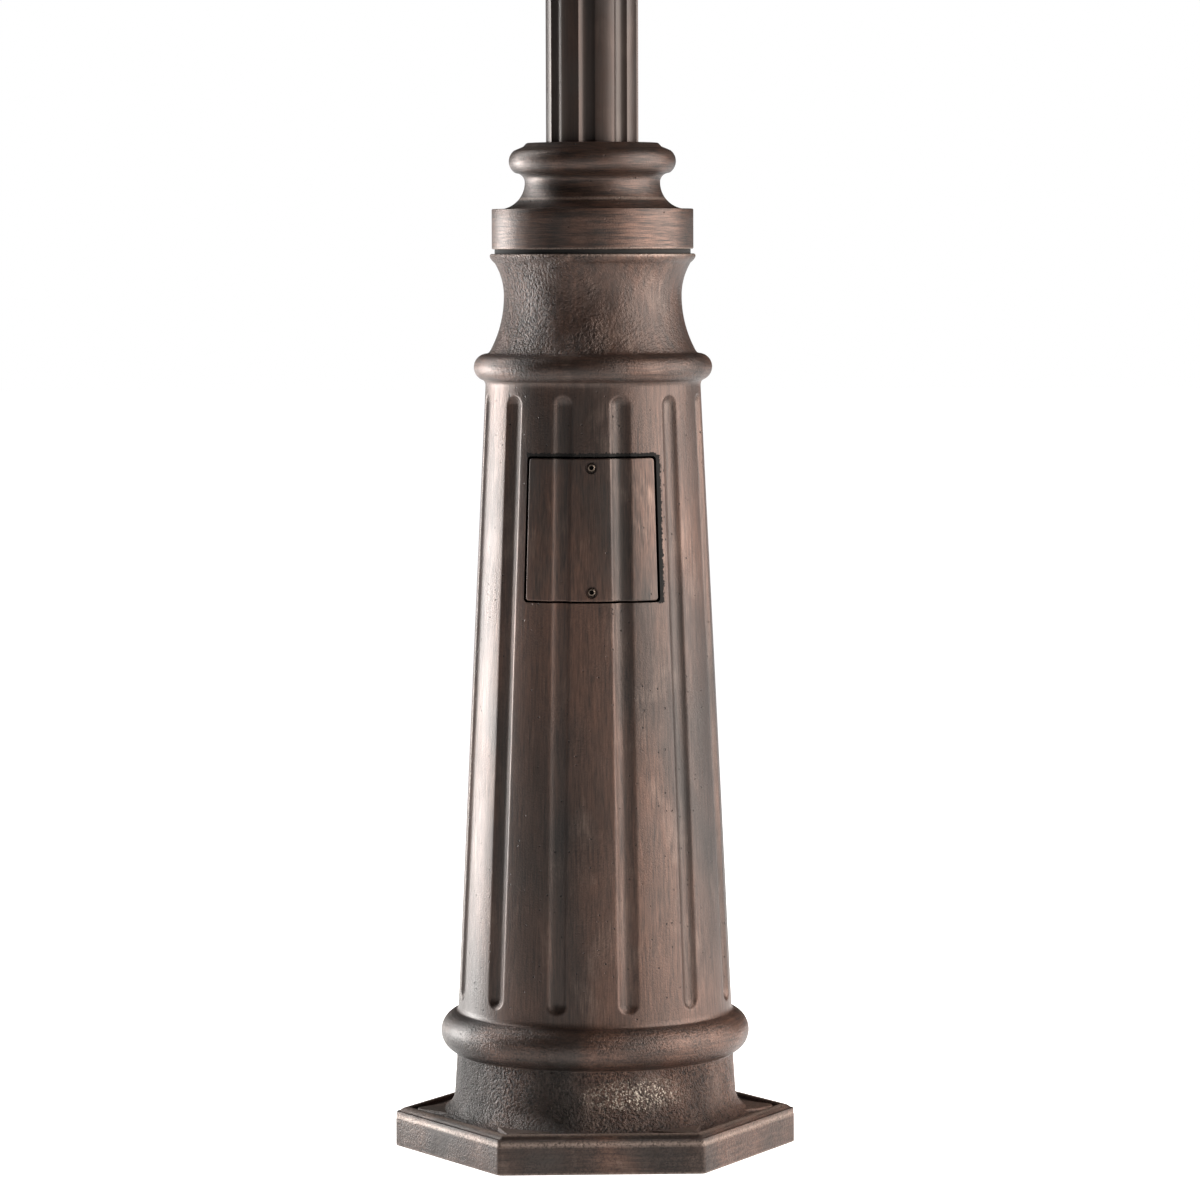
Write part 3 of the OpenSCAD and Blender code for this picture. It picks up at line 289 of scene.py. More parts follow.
def agedBronze(name, stroke, streak=1.0, copper=0.5, grain=0.3, grainSize=2.0, pits=0.5, cool=0.35,
               rough=0.42, grainLeft=False, chalk=False, rubbedAndLitEdges=(), crust=None, paintedShade=0.0):
    # dark oil-rubbed bronze paint brushed over cast aluminium: satin, streaked along the brush, sooty in
    # pits; stroke is a brush mark's size in millimetres
    material, tree, shader = newMaterial(name, Metallic=0.5)

    def times(a, b):
        return mathNode(tree, "MULTIPLY", a, b)

    broad = noise(tree, (110, 110, 300), 2.0, 0.5, 0.4)
    cloud = noise(tree, (45, 45, 80), 4.0, 0.6, 0.3)
    brushed = mathNode(tree, "ADD", times(noise(tree, stroke, 4.0, 0.6), 0.55),
                       times(noise(tree, [s * 0.4 for s in stroke], 3.0, 0.6), 0.45))
    tone = between(tree, brushed, 0.5 - 0.16 / streak, 0.5 + 0.16 / streak)
    colour = mixColour(tree, tone, bronzeLook["deep"], bronzeLook["brown"])
    warmth = times(between(tree, broad, 0.36, 0.66),
                   between(tree, brushed, 0.5 - 0.2 / streak, 0.5 + 0.14 / streak))
    colour = mixColour(tree, times(warmth, copper), colour, bronzeLook["copper"])
    rubbed = times(between(tree, cloud, 0.54, 0.76), tone)
    colour = mixColour(tree, times(rubbed, copper * 0.5), colour, bronzeLook["pale"])
    hollow = addNode(tree, "ShaderNodeAttribute", attribute_name="hollow").outputs["Fac"]
    patina = mathNode(tree, "MAXIMUM", times(hollow, 0.3), times(between(tree, cloud, 0.55, 0.30), cool))
    colour = mixColour(tree, patina, colour, bronzeLook["verdigris"])

    # sand-cast skin: the sand's 1 mm grain drawn coarser so that it shows, thicker in patches
    sand = noise(tree, (grainSize, grainSize, grainSize), 2.0, 0.75)
    patch = between(tree, noise(tree, (60, 60, 80), 2.0), 0.36, 0.58, 0.35, 1.0)
    spot = addNode(tree, "ShaderNodeSeparateXYZ", {
        0: addNode(tree, "ShaderNodeTexCoord").outputs["Object"]}).outputs
    if grainLeft:
        patch = times(patch, between(tree, spot[0], 0.02, -0.05, 0.12, 1.0))
    cell = addNode(tree, "ShaderNodeTexVoronoi", {
        "Vector": patternPlace(tree, (8, 8, 8)), "Scale": 1.0, "Randomness": 1.0}, feature="F1")
    pick = between(tree, addNode(tree, "ShaderNodeSeparateColor", {0: cell.outputs["Color"]}).outputs[0],
                   1.0 - pits * 0.4, 1.02 - pits * 0.4)
    hole = times(between(tree, cell.outputs["Distance"], 0.16, 0.08), times(pick, patch))
    colour = mixColour(tree, times(hole, 0.9), colour, bronzeLook["sootAndShade"])
    grime = times(between(tree, sand, 0.53, 0.40), times(patch, min(grain, 1.0)))
    colour = mixColour(tree, times(grime, 0.8), colour, bronzeLook["sootAndShade"])
    for level, half in rubbedAndLitEdges:
        # edges where hands and weather have rubbed the paint off, and a painted highlight along the rims and
        # the bell's lip, as height and half width in millimetres
        off = mathNode(tree, "ABSOLUTE", mathNode(tree, "SUBTRACT", spot[2], level / 1000))
        edge = times(between(tree, off, half / 1000, 0.0), between(tree, sand, 0.25, 0.55))
        colour = mixColour(tree, times(edge, 0.5), colour, bronzeLook["pale"])
    if chalk:
        # a dry patch to the right of the middle, in specks
        across = times(mathNode(tree, "SUBTRACT", spot[0], chalkPatch["right"]), 1 / chalkPatch["halfWidth"])
        upwards = times(mathNode(tree, "SUBTRACT", spot[2], chalkPatch["height"]),
                        1 / chalkPatch["halfHeight"])
        away = mathNode(tree, "SQRT", mathNode(tree, "ADD", times(across, across), times(upwards, upwards)))
        front = between(tree, spot[1], -0.11, -0.13)
        bloom = times(between(tree, away, 1.25, 0.2), front)
        fleck = noise(tree, (2.6, 2.6, 2.6), 2.0, 0.8)
        specks = times(bloom, between(tree, fleck, 0.45, 0.6, 0.0, 0.35))
        colour = mixColour(tree, specks, colour, bronzeLook["pale"])
        colour = mixColour(tree, times(bloom, between(tree, fleck, 0.56, 0.62)), colour, bronzeLook["chalk"])
    # painted shade: the whole finish is darkened towards black by paintedShade, for parts that catch less
    # light
    colour = mixColour(tree, paintedShade, colour, bronzeLook["sootAndShade"])
    flake = 0.0
    if crust:
        # flaking paint round the access opening: solid at its right and upper edges, ragged further out
        across = mathNode(tree, "DIVIDE", spot[0], times(spot[1], -1.0))
        level = mathNode(tree, "ABSOLUTE", mathNode(tree, "SUBTRACT", spot[2], crust["middle"]))
        aside = mathNode(tree, "ABSOLUTE", mathNode(tree, "SUBTRACT", across, crust["slope"] + 0.02))
        beside = times(between(tree, aside, 0.085, 0.015),
                       between(tree, level, crust["half"] + 0.003, crust["half"]))
        upperEdge = crust["middle"] + crust["half"] + 0.001
        over = mathNode(tree, "ABSOLUTE", mathNode(tree, "SUBTRACT", spot[2], upperEdge))
        above = times(between(tree, over, 0.005, 0.001), between(
            tree, mathNode(tree, "ABSOLUTE", across), crust["slope"] + 0.02, crust["slope"]))
        ragged = times(mathNode(tree, "SUBTRACT", noise(tree, (3.2, 3.2, 3.2), 2.0, 0.8), 0.5), 1.6)
        reach = mathNode(tree, "ADD", mathNode(tree, "MAXIMUM", beside, times(above, 0.9)), ragged)
        flake = times(between(tree, reach, 0.5, 0.58), between(tree, spot[1], 0.0, -0.05))
        colour = mixColour(tree, flake, colour, bronzeLook["sootAndShade"])
    tree.links.new(colour, shader.inputs["Base Color"])

    gloss = between(tree, brushed, 0.35, 0.65, rough + 0.05 * streak, rough - 0.05 * streak)
    matt = mathNode(tree, "ADD", times(patina, 0.10), times(flake, 0.45))
    tree.links.new(mathNode(tree, "ADD", gloss, matt), shader.inputs["Roughness"])
    normal = bump(tree, brushed, 0.3 * streak, 0.0003)
    normal = bump(tree, times(patch, sand), min(grain, 1.0), 0.0006 * grainSize * max(grain, 1.0), normal)
    normal = bump(tree, times(hole, -1.0), 0.8, 0.0008, normal)
    tree.links.new(normal, shader.inputs["Normal"])
    return material


def packedSoot(name, colour, dust, size):
    # painted shade of a joint's gap: near black and matt, and a little greyer where dust has settled
    material, tree, shader = newMaterial(name, Roughness=0.9)
    patches = noise(tree, size, 4.0, 0.6)
    tint = mixColour(tree, between(tree, patches, 0.3, 0.7, 0.0, 1.0), colour, dust)
    tree.links.new(tint, shader.inputs["Base Color"])
    return material


def plainMetal(name, colour, rough, scratch):
    # turned or rolled metal: fine lines, a little uneven in gloss
    material, tree, shader = newMaterial(name, Metallic=1.0)
    lines = noise(tree, scratch, 4.0, 0.6)
    tint = mixColour(tree, between(tree, lines, 0.3, 0.7, 0.0, 0.5), colour, "#1d1b1a")
    hollow = addNode(tree, "ShaderNodeAttribute", attribute_name="hollow").outputs["Fac"]
    # painted shade: points marked hollow, such as a screw's socket, are darkened to near black
    tint = mixColour(tree, hollow, tint, bronzeLook["sootAndShade"])
    tree.links.new(tint, shader.inputs["Base Color"])
    tree.links.new(between(tree, lines, 0.3, 0.7, rough - 0.06, rough + 0.12), shader.inputs["Roughness"])
    tree.links.new(bump(tree, lines, 0.15, 0.0002), shader.inputs["Normal"])
    return material


def moulded(name, colour, rough=0.5, speck=0.35, **shader):
    # moulded or painted surface: a fine orange peel and slight unevenness of tone
    material, tree, principled = newMaterial(name, **shader)
    peel = noise(tree, (1.2, 1.2, 1.2), 2.0, 0.6)
    tone = noise(tree, (40, 40, 40), 3.0, 0.5)
    tint = mixColour(tree, between(tree, tone, 0.3, 0.7, 0.0, speck), colour, "#000000", "MULTIPLY")
    tree.links.new(tint, principled.inputs["Base Color"])
    tree.links.new(between(tree, tone, 0.3, 0.7, rough - 0.05, rough + 0.08), principled.inputs["Roughness"])
    tree.links.new(bump(tree, peel, 0.12, 0.0002), principled.inputs["Normal"])
    return material


# paintedShade darkens a whole finish as painted shade, most on the collar, the bell and the shaft
bronzeBrushed = agedBronze("brushedBronzePaint", (2.6, 2.6, 80), streak=0.85, copper=0.48, grain=0.3,
                           pits=0.8, cool=0.2, crust=openingCrust, paintedShade=0.08)
bronzeCover = agedBronze("brushedCoverPaint", (2.2, 2.2, 50), streak=1.1, copper=0.5, grain=0.05, pits=0.1,
                         paintedShade=0.08)
bronzeTurned = agedBronze("turnedBronzePaint", (60, 60, 4), streak=0.9, copper=0.6, grain=0.8,
                          grainSize=2.6, pits=0.7, paintedShade=0.1)
bronzeCollar = agedBronze("turnedCollarPaint", (44, 44, 2.6), streak=1.4, copper=0.48, grain=0.4, pits=0.6,
                          paintedShade=0.15, rubbedAndLitEdges=((991, 2.4), (1046, 2.4)))
bronzeBell = agedBronze("castBellPaint", (7, 7, 50), streak=0.8, copper=0.6, grain=4.5, grainSize=3.2,
                        pits=0.9, paintedShade=0.2, grainLeft=True, rubbedAndLitEdges=((985, 2.4),))
bronzeCast = agedBronze("sandCastBronzePaint", (12, 12, 14), streak=0.6, copper=0.6, grain=3.8,
                        grainSize=3.2, pits=1.0, cool=0.3, rough=0.5, chalk=True)
bronzeFoot = agedBronze("castFootPaint", (44, 44, 3.0), streak=0.8, copper=0.6, grain=0.7, grainSize=2.8,
                        pits=0.6, rough=0.48, rubbedAndLitEdges=((33.0, 4.0), (42.5, 1.6), (0, 3.0)))
bronzeShaft = agedBronze("drawnTubeBronzePaint", (2.4, 2.4, 160), streak=0.5, copper=0.25, grain=0.04,
                         pits=0.05, rough=0.34, paintedShade=0.2)
bronzeCase = agedBronze("sprayedCasePaint", (14, 14, 14), streak=0.5, copper=0.4, grain=0.2, pits=0.1)
jointShadow = packedSoot("sootyJoint", "#0b0908", "#151210", (14, 14, 14))
steelCoverScrew = plainMetal("paintedButtonScrew", "#75695f", 0.42, (0.6, 0.6, 0.6))
steelScrew = plainMetal("turnedStainless", "#77726d", 0.34, (0.6, 0.6, 6))
galvanised = plainMetal("hotDipGalvanised", "#8d9294", 0.48, (14, 14, 14))
brassTurned = plainMetal("turnedBrass", "#a9854c", 0.32, (0.8, 0.8, 5))
blackPlastic = moulded("mouldedBlackPhenolic", "#1c1c1e", 0.45)
creamPlastic = moulded("mouldedCreamPolyamide", "#d8cfb4", 0.5, 0.1)
blackRubber = moulded("matteRubber", "#161616", 0.75)
cableJacket = moulded("extrudedCableJacket", "#1a1a1b", 0.55)
handPaint = moulded("satinBlackPaint", "#141414", 0.38, Metallic=0.2)
dialBlack = moulded("screenPrintBlack", "#121212", 0.55)
ledBoard = moulded("whiteBoard", "#e9ebe4", 0.4, 0.1)
dialOpal = moulded("opalAcrylic", "#efe6d0", 0.34, 0.04, IOR=1.49,      # glows a little, lit from behind
                   Emission_Color="#ffe9c4", Emission_Strength=0.4)
doorGlass = newMaterial("floatGlass", Base_Color="#fbfdfc", Roughness=0.02, Transmission_Weight=1.0,
                        IOR=1.45)[0]
print("materials made:", len(bpy.data.materials))


# ---- pedestal: one casting, turned outline with twelve flutes, and a window for the access cover
pedestalSizes = {           # millimetres, heights above the ground
    "coveRadius": 24, "coveFoot": 38, "bandFootRadius": 155.5, "bandTopRadius": 152.6,
    "lowerBead": 23.5, "lowerBeadRadius": 170.5, "lowerBeadHeight": 128.5,
    "bodyFoot": 152, "bodyTop": 847, "bodyFootRadius": 151.6, "bodyTopRadius": 118,
    "upperBead": 15, "upperBeadRadius": 131, "waistRadius": 97.6, "waistHeight": 940.1,
    "bellFoot": 877, "bellFootRadius": 114.5, "lipRadius": 113, "lipTop": 986,
    "wall": 10, "boreRadius": 51.8,
    "flutes": 12, "firstFlute": -75, "fluteRadius": 13, "fluteDepth": 5.5, "fluteMargin": 25,
    "edgeSoftness": 1.0, "columnsPerFlute": 40,
    "windowFoot": 610, "windowTop": 768, "windowHalfAngle": 34.8, "windowCorner": 4,
}


def bodyRadius(height):
    p = pedestalSizes
    share = (height - p["bodyFoot"]) / (p["bodyTop"] - p["bodyFoot"])
    return p["bodyFootRadius"] + (p["bodyTopRadius"] - p["bodyFootRadius"]) * share


def joined(parts, ease):
    # strings lines together, easing each corner between two of them over this length
    line = list(parts[0])
    for part in parts[1:]:
        corner = Vector(part[0])
        while len(line) > 1 and (Vector(line[-1]) - corner).length < ease:
            line.pop()
        rest = [p for p in part if (Vector(p) - corner).length >= ease]
        start, end = Vector(line[-1]), Vector(rest[0])
        for step in (0.2, 0.4, 0.6, 0.8):
            line.append(tuple(start * (1 - step) ** 2 + corner * 2 * step * (1 - step) + end * step ** 2))
        line += rest
    return line


def bellArc(edgeRadius, edgeHeight, stopHeight, steps):
    # concave arc between the waist and an edge, from the waist up to (or from the foot up to) a height
    p = pedestalSizes
    out, rise = edgeRadius - p["waistRadius"], abs(edgeHeight - p["waistHeight"])
    radius = (out * out + rise * rise) / (2 * out)
    reach = 180 - np.degrees(asin((stopHeight - p["waistHeight"]) / radius))
    return arcPoints((p["waistRadius"] + radius, p["waistHeight"]), radius, 180, reach, steps)


def bodyRows():
    # rows close together where the flutes end, and far apart along their straight length
    p = pedestalSizes
    foot, top = p["bodyFoot"] + p["fluteMargin"], p["bodyTop"] - p["fluteMargin"]
    ends = [13, 11.6, 10.6, 9.6, 8.4, 7.2, 6, 4.8, 3.6, 2.2, 0.8, -1.5]
    return ([p["bodyFoot"] - 0.4, p["bodyFoot"] + 6] + [foot - e for e in ends]
            + list(np.linspace(foot + 20, top - 20, 22)) + [top + e for e in reversed(ends)]
            + [p["bodyTop"] - 6, p["bodyTop"] + 0.4])


def pedestalOutline():
    p = pedestalSizes
    lowCentre = p["lowerBeadRadius"] - p["lowerBead"]
    topCentre = p["upperBeadRadius"] - p["upperBead"]
    topHeight = p["bodyTop"] + p["upperBead"]
    cove = (p["bandFootRadius"] + p["coveRadius"], p["coveFoot"] + p["coveRadius"])
    fromBand = np.degrees(asin(-sqrt(1 - ((p["bandTopRadius"] - lowCentre) / p["lowerBead"]) ** 2)))
    toBody = np.degrees(asin(sqrt(1 - ((p["bodyFootRadius"] - lowCentre) / p["lowerBead"]) ** 2)))
    lowBead = arcPoints((lowCentre, p["lowerBeadHeight"]), p["lowerBead"], fromBand, toBody, 24)
    topBead = arcPoints((topCentre, topHeight), p["upperBead"], -82, 84, 20)
    lip, top = p["lipRadius"], p["lipTop"]
    bell = bellArc(p["bellFootRadius"], p["bellFoot"], p["bellFoot"] - 0.3, 14)[::-1]
    bell += bellArc(lip, top - 2, top - 10, 12)[1:]
    roll = [(bell[-1][0], bell[-1][1]), (lip - 4.4, top - 9.2), (lip - 2.3, top - 7), (lip - 0.5, top - 4.4),
            (lip, top - 2.2), (lip - 0.5, top - 0.7), (lip - 2, top)]
    outside = joined([
        arcPoints(cove, p["coveRadius"], 268, 180, 16) + [(p["bandFootRadius"] - 1.2, 82)],
        [(p["bandFootRadius"] - 1.2, 82.001), lowBead[0]], lowBead,
        [(bodyRadius(z), z) for z in bodyRows()], topBead, bell], 2.6) + roll[1:]
    waist, band = p["waistRadius"] - p["wall"], p["bandTopRadius"] - p["wall"]
    inside = [(p["boreRadius"], top), (p["boreRadius"], top - 16), (waist, top - 16),
              (waist, p["bellFoot"] + 10), (p["bodyTopRadius"] - p["wall"], p["bodyTop"]),
              (p["bodyFootRadius"] - p["wall"], p["bodyFoot"]), (band, p["bodyFoot"] - 24),
              (band, 30), (cove[0], 30)]
    isBody = lambda z: 1.0 if p["bodyFoot"] + 3 < z < p["bodyTop"] - 3 else 0.0
    return [(r, z, isBody(z)) for r, z in outside] + [(r, z, 0.0) for r, z in inside]


def windowOutline(inset):
    # four-sided outline with round corners; its upright sides follow the body's taper
    p = pedestalSizes
    corner = p["windowCorner"] - inset * 0.3
    low, high = p["windowFoot"] + inset, p["windowTop"] - inset
    points = []
    for z, side, start in ((high, 1, 0), (high, -1, 90), (low, -1, 180), (low, 1, 270)):
        wide = bodyRadius(z) * sin(radians(p["windowHalfAngle"])) - inset
        centre = (side * (wide - corner), z - corner if z == high else z + corner)
        points += arcPoints(centre, corner, start, start + 90, 6)
    return points


def prismAlongY(name, outline, near, far):
    count = len(outline)
    verts = [(x * mm, y * mm, z * mm) for y in (near, far) for x, z in outline]
    sides = [(i, (i + 1) % count, count + (i + 1) % count, count + i) for i in range(count)]
    mesh = meshFrom(name, verts, [tuple(range(count)), tuple(reversed(range(count, 2 * count)))] + sides)
    faceOutwards(mesh)
    return newObject(name, mesh)


def carve(target, cutter, operation="DIFFERENCE"):
    modifier = target.modifiers.new("carve", "BOOLEAN")
    modifier.operation, modifier.object, modifier.solver = operation, cutter, "EXACT"
    applied(target)
    bpy.data.objects.remove(cutter)
    shadeSmooth(target.data)
    return target


def zoneMaterials(piece, zones):
    # one material for each stretch of height: (lowest millimetre, material)
    piece.data.materials.clear()
    for _, material in zones:
        piece.data.materials.append(material)
    centres = np.empty(len(piece.data.polygons) * 3)
    piece.data.polygons.foreach_get("center", centres)
    slots = np.searchsorted([low for low, _ in zones], centres[2::3] / mm, side="right") - 1
    piece.data.polygons.foreach_set("material_index", np.clip(slots, 0, None).astype(int))
    piece.data.update()


def makePedestal():
    p = pedestalSizes
    piece = turned("pedestal", pedestalOutline(), bronzeBrushed, sectors=p["flutes"],
                   columns=p["columnsPerFlute"], firstFlute=p["firstFlute"], gather=0.5,
                   fluteRadius=p["fluteRadius"], fluteDepth=p["fluteDepth"],
                   fluteFoot=p["bodyFoot"] + p["fluteMargin"], fluteTop=p["bodyTop"] - p["fluteMargin"],
                   softness=p["edgeSoftness"])
    carve(piece, prismAlongY("windowCutter", windowOutline(0), -70, -200))
    zoneMaterials(piece, [(0, bronzeCast), (105, bronzeTurned), (151, bronzeBrushed), (848, bronzeTurned),
                          (876, bronzeBell)])
    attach(piece, "post")
    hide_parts("base_casting")


# ---- hexagonal foot: upright sides, thin ledge, rounded rim, sunk panels and a raised pad at each corner
footSizes = {               # millimetres
    "cornerRadius": 222, "sideHeight": 32, "turn": 3, "corner": 6, "ledge": 1.6, "rimCrest": 12,
    "rimHeight": 10.3, "rimFoot": 18, "floor": 38.3, "padHeight": 3.2, "padTip": 195, "padTipHalf": 7,
    "padInner": 144.6, "padInnerHalf": 50, "padEdge": 1.1, "bore": 142.6, "underside": 27, "wall": 10,
}


def hexagonRadius(angle, inset, corner):
    # distance to the side of a hexagon with rounded corners; angle is counted from the nearest corner
    f = footSizes
    apothem = f["cornerRadius"] * cos(radians(30)) - inset
    flat = apothem / np.cos(radians(30) - np.abs(angle))
    tip = (apothem - corner) / cos(radians(30))
    spread = np.clip(tip * np.sin(np.abs(angle)), 0, corner * 0.999)
    arc = tip * np.cos(angle) + np.sqrt(corner ** 2 - spread ** 2)
    return np.where(spread < corner * 0.5, np.minimum(arc, flat), flat)


def smoothStep(value, low, high):
    t = np.clip((value - low) / (high - low), 0, 1)
    return t * t * (3 - 2 * t)


def footSurface(inset):
    # height of the foot's top at this distance in from its side
    f = footSizes
    rise = np.clip((f["rimCrest"] - inset) / (f["rimCrest"] - f["ledge"]), 0, 1)
    rim = f["sideHeight"] + 0.4 + f["rimHeight"] * np.sqrt(np.clip(1 - rise ** 2.2, 0, 1))
    rim = np.where(inset < f["ledge"], f["sideHeight"] + 0.4 * smoothStep(inset, 0, f["ledge"]), rim)
    inner = smoothStep(inset, f["rimCrest"] + 1, f["rimFoot"])
    return rim * (1 - inner) + f["floor"] * inner, inner


def makeFoot():
    f = footSizes
    # degrees from a corner to the middle of a side, close together where the corner and its pad are
    halfSide = np.concatenate([np.linspace(0, 4, 13)[:-1], np.linspace(4, 20, 48)[:-1],
                               np.linspace(20, 30, 9)])
    oneCorner = np.radians(np.concatenate([-halfSide[:0:-1], halfSide[:-1]]))
    angles = np.tile(oneCorner, 6)
    turns = np.repeat(np.radians(f["turn"] + 60 * np.arange(6)), len(oneCorner)) + angles
    count = len(angles)
    insets = np.concatenate([[0.8, 1.3, 1.6, 1.8, 2.2, 2.8, 3.6, 4.6, 5.8, 7.2, 8.8, 10.4, 12, 13.2],
                             np.linspace(14, 19, 8)])
    rings, hollows = [], []

    def addRing(radius, height, hollow=0.0):
        rings.append(np.stack([radius * np.cos(turns), radius * np.sin(turns), height * np.ones(count)],
                              axis=1))
        hollows.append(hollow * np.ones(count))

    addRing(hexagonRadius(angles, f["wall"], 2), 0)
    for inset, height in ((1.2, 0), (0.5, 0.3), (0.1, 0.9), (0, 2), (0, 15), (0, f["sideHeight"] - 1.6),
                          (0.1, f["sideHeight"] - 0.7), (0.4, f["sideHeight"] - 0.15)):
        addRing(hexagonRadius(angles, inset, f["corner"]), height)
    firstTopRing = len(rings)
    last = None
    for inset in insets:
        last = hexagonRadius(angles, inset, max(f["corner"] - inset * 0.4, 1.5))
        height, inner = footSurface(np.full(count, inset))
        addRing(last, height, inner)
    for share in np.linspace(0, 1, 34)[1:]:
        radius = last * (1 - share) + f["bore"] * share
        addRing(radius, f["floor"], 1.0)
    # pads rise where a ring's point lies inside the wedge at its corner
    for k in range(firstTopRing, len(rings)):
        radius = np.hypot(rings[k][:, 0], rings[k][:, 1])
        along, across = radius * np.cos(angles), np.abs(radius * np.sin(angles))
        half = f["padTipHalf"] + (f["padTip"] - along) * (f["padInnerHalf"] - f["padTipHalf"]) / (
            f["padTip"] - f["padInner"])
        inside = np.minimum(half - across, f["padTip"] - along + 2)
        pad = smoothStep(inside, -f["padEdge"], f["padEdge"]) * (rings[k][:, 2] < f["floor"] + 3.6) * (
            hollows[k] > 0.02)
        rings[k][:, 2] = np.maximum(rings[k][:, 2], f["floor"] + f["padHeight"] * pad * hollows[k])
        hollows[k] = hollows[k] * (1 - 0.75 * pad)
    addRing(np.full(count, float(f["bore"])), f["underside"])
    addRing(hexagonRadius(angles, f["wall"], 2), f["underside"])
    total = len(rings)
    verts = np.concatenate(rings) * mm
    faces = [(a * count + i, a * count + (i + 1) % count, b * count + (i + 1) % count, b * count + i)
             for a, b in ((k, (k + 1) % total) for k in range(total)) for i in range(count)]
    mesh = meshFrom("pedestalFoot", verts.tolist(), faces)
    storeHollow(mesh, np.concatenate(hollows).astype(np.float32))
    faceOutwards(mesh)
    shadeSmooth(mesh, 40)
    piece = newObject("pedestalFoot", mesh)
    zoneMaterials(piece, [(0, bronzeFoot)])
    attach(piece, "post")
    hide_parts("base_casting")


# ---- access cover: a flush plate cut from the same fluted surface
coverSizes = {              # millimetres
    "gap": 2.0, "wall": 8.0, "edge": 1.3, "columns": 120, "rows": 46, "screwIn": 10, "recess": 6.8,
    "recessDepth": 4.3, "screwHole": 3.2,
}


def coverScrewHeights():
    p, c = pedestalSizes, coverSizes
    fromEdge = c["gap"] + c["screwIn"]
    return p["windowFoot"] + fromEdge, p["windowTop"] - fromEdge


def carvedRadius(turn, height):
    # the fluted body's surface at a turn from the middle of the cover, in radians
    p = pedestalSizes
    radius = bodyRadius(height)
    pitch = 2 * pi / p["flutes"]
    off = turn % pitch - pitch / 2
    level = np.sqrt(np.maximum(p["fluteRadius"] ** 2 - (radius * np.sin(off)) ** 2, 0)) - (
        p["fluteRadius"] - p["fluteDepth"])
    depth = (level + np.sqrt(level ** 2 + p["edgeSoftness"] ** 2)) / 2
    return radius - depth, depth / p["fluteDepth"]


def makeCover():
    p, c = pedestalSizes, coverSizes
    low, high = p["windowFoot"] + c["gap"], p["windowTop"] - c["gap"]
    corner = p["windowCorner"] - 0.6

    def spread(count, reach):
        # places from -reach to reach, close together near both ends
        inner = np.linspace(-(reach - corner), reach - corner, count - 12)
        ends = reach - corner * np.array([0.82, 0.64, 0.46, 0.28, 0.12, 0.0])
        return np.concatenate([-ends[::-1], inner, ends])

    middle, tall = (low + high) / 2, (high - low) / 2
    z0 = np.repeat(spread(c["rows"], tall), c["columns"])
    wide = bodyRadius(middle + z0) * sin(radians(p["windowHalfAngle"])) - c["gap"]
    # the ends of each row crowd towards the side, and points of a corner's square fall on its round
    halfCover = 70.0
    columns = spread(c["columns"], halfCover) / halfCover
    x = np.tile(columns, c["rows"]) * wide
    over = np.maximum(np.abs(x) - (wide - corner), 0)
    above = np.maximum(np.abs(z0) - (tall - corner), 0)
    length = np.maximum(np.hypot(over, above), 1e-9)
    pull = np.where((over > 0) & (above > 0), np.maximum(over, above) / length, 1.0)
    x = np.sign(x) * (np.abs(x) - over + over * pull)
    z = middle + np.sign(z0) * (np.abs(z0) - above + above * pull)
    border = np.where((over > 0) & (above > 0), corner - np.hypot(over, above) * pull,
                      np.minimum(wide - np.abs(x), tall - np.abs(z - middle)))
    turn = np.arcsin(x / bodyRadius(z))
    outer, hollow = carvedRadius(turn, z)
    rolled = np.clip(c["edge"] - border, 0, c["edge"])
    outer = outer - (c["edge"] - np.sqrt(np.maximum(c["edge"] ** 2 - rolled ** 2, 0)))
    inner = bodyRadius(z) - c["wall"]
    front = np.stack([outer * np.sin(turn), -outer * np.cos(turn), z], axis=1)
    back = np.stack([inner * np.sin(turn), -inner * np.cos(turn), z], axis=1)
    rows, cols, size = c["rows"], c["columns"], c["rows"] * c["columns"]
    cell = [(r * cols + k, r * cols + k + 1, (r + 1) * cols + k + 1, (r + 1) * cols + k)
            for r in range(rows - 1) for k in range(cols - 1)]
    rim = (list(range(cols)) + [r * cols + cols - 1 for r in range(1, rows)]
           + [(rows - 1) * cols + k for k in range(cols - 2, -1, -1)]
           + [r * cols for r in range(rows - 2, 0, -1)])
    sides = [(rim[i], rim[(i + 1) % len(rim)], size + rim[(i + 1) % len(rim)], size + rim[i])
             for i in range(len(rim))]
    faces = cell + [tuple(size + v for v in reversed(face)) for face in cell] + sides
    mesh = meshFrom("accessCover", (np.concatenate([front, back]) * mm).tolist(), faces)
    storeHollow(mesh, np.concatenate([hollow, hollow * 0]).astype(np.float32))
    faceOutwards(mesh)
    piece = newObject("accessCover", mesh)
    for height in coverScrewHeights():
        face = bodyRadius(height)
        for radius, near in ((c["recess"], face - c["recessDepth"]), (c["screwHole"], face - 3 * c["wall"])):
            outline = arcPoints((0, height), radius, 0, 360, 32)[:-1]
            carve(piece, prismAlongY("screwCutter", outline, -near, -face - 20))
    piece.data.materials.clear()
    piece.data.materials.append(bronzeCover)
    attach(piece, "access_cover")
    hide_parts("access_cover")


makePedestal()
makeFoot()
makeCover()
print("pedestal, foot and access cover made")


# ---- collar and shaft
collarSizes = {             # millimetres
    "foot": 986, "bandFoot": 991, "bandTop": 1035, "bandRadius": 110.6, "neckRadius": 107.6, "waist": 74.2,
    "waistHeight": 1064, "coveRadius": 29.2, "topCoveRadius": 10.2, "bead": 15, "beadRadius": 91.6,
    "beadHeight": 1087, "top": 1107, "topRadius": 72, "bore": 51.3, "wall": 9,
}


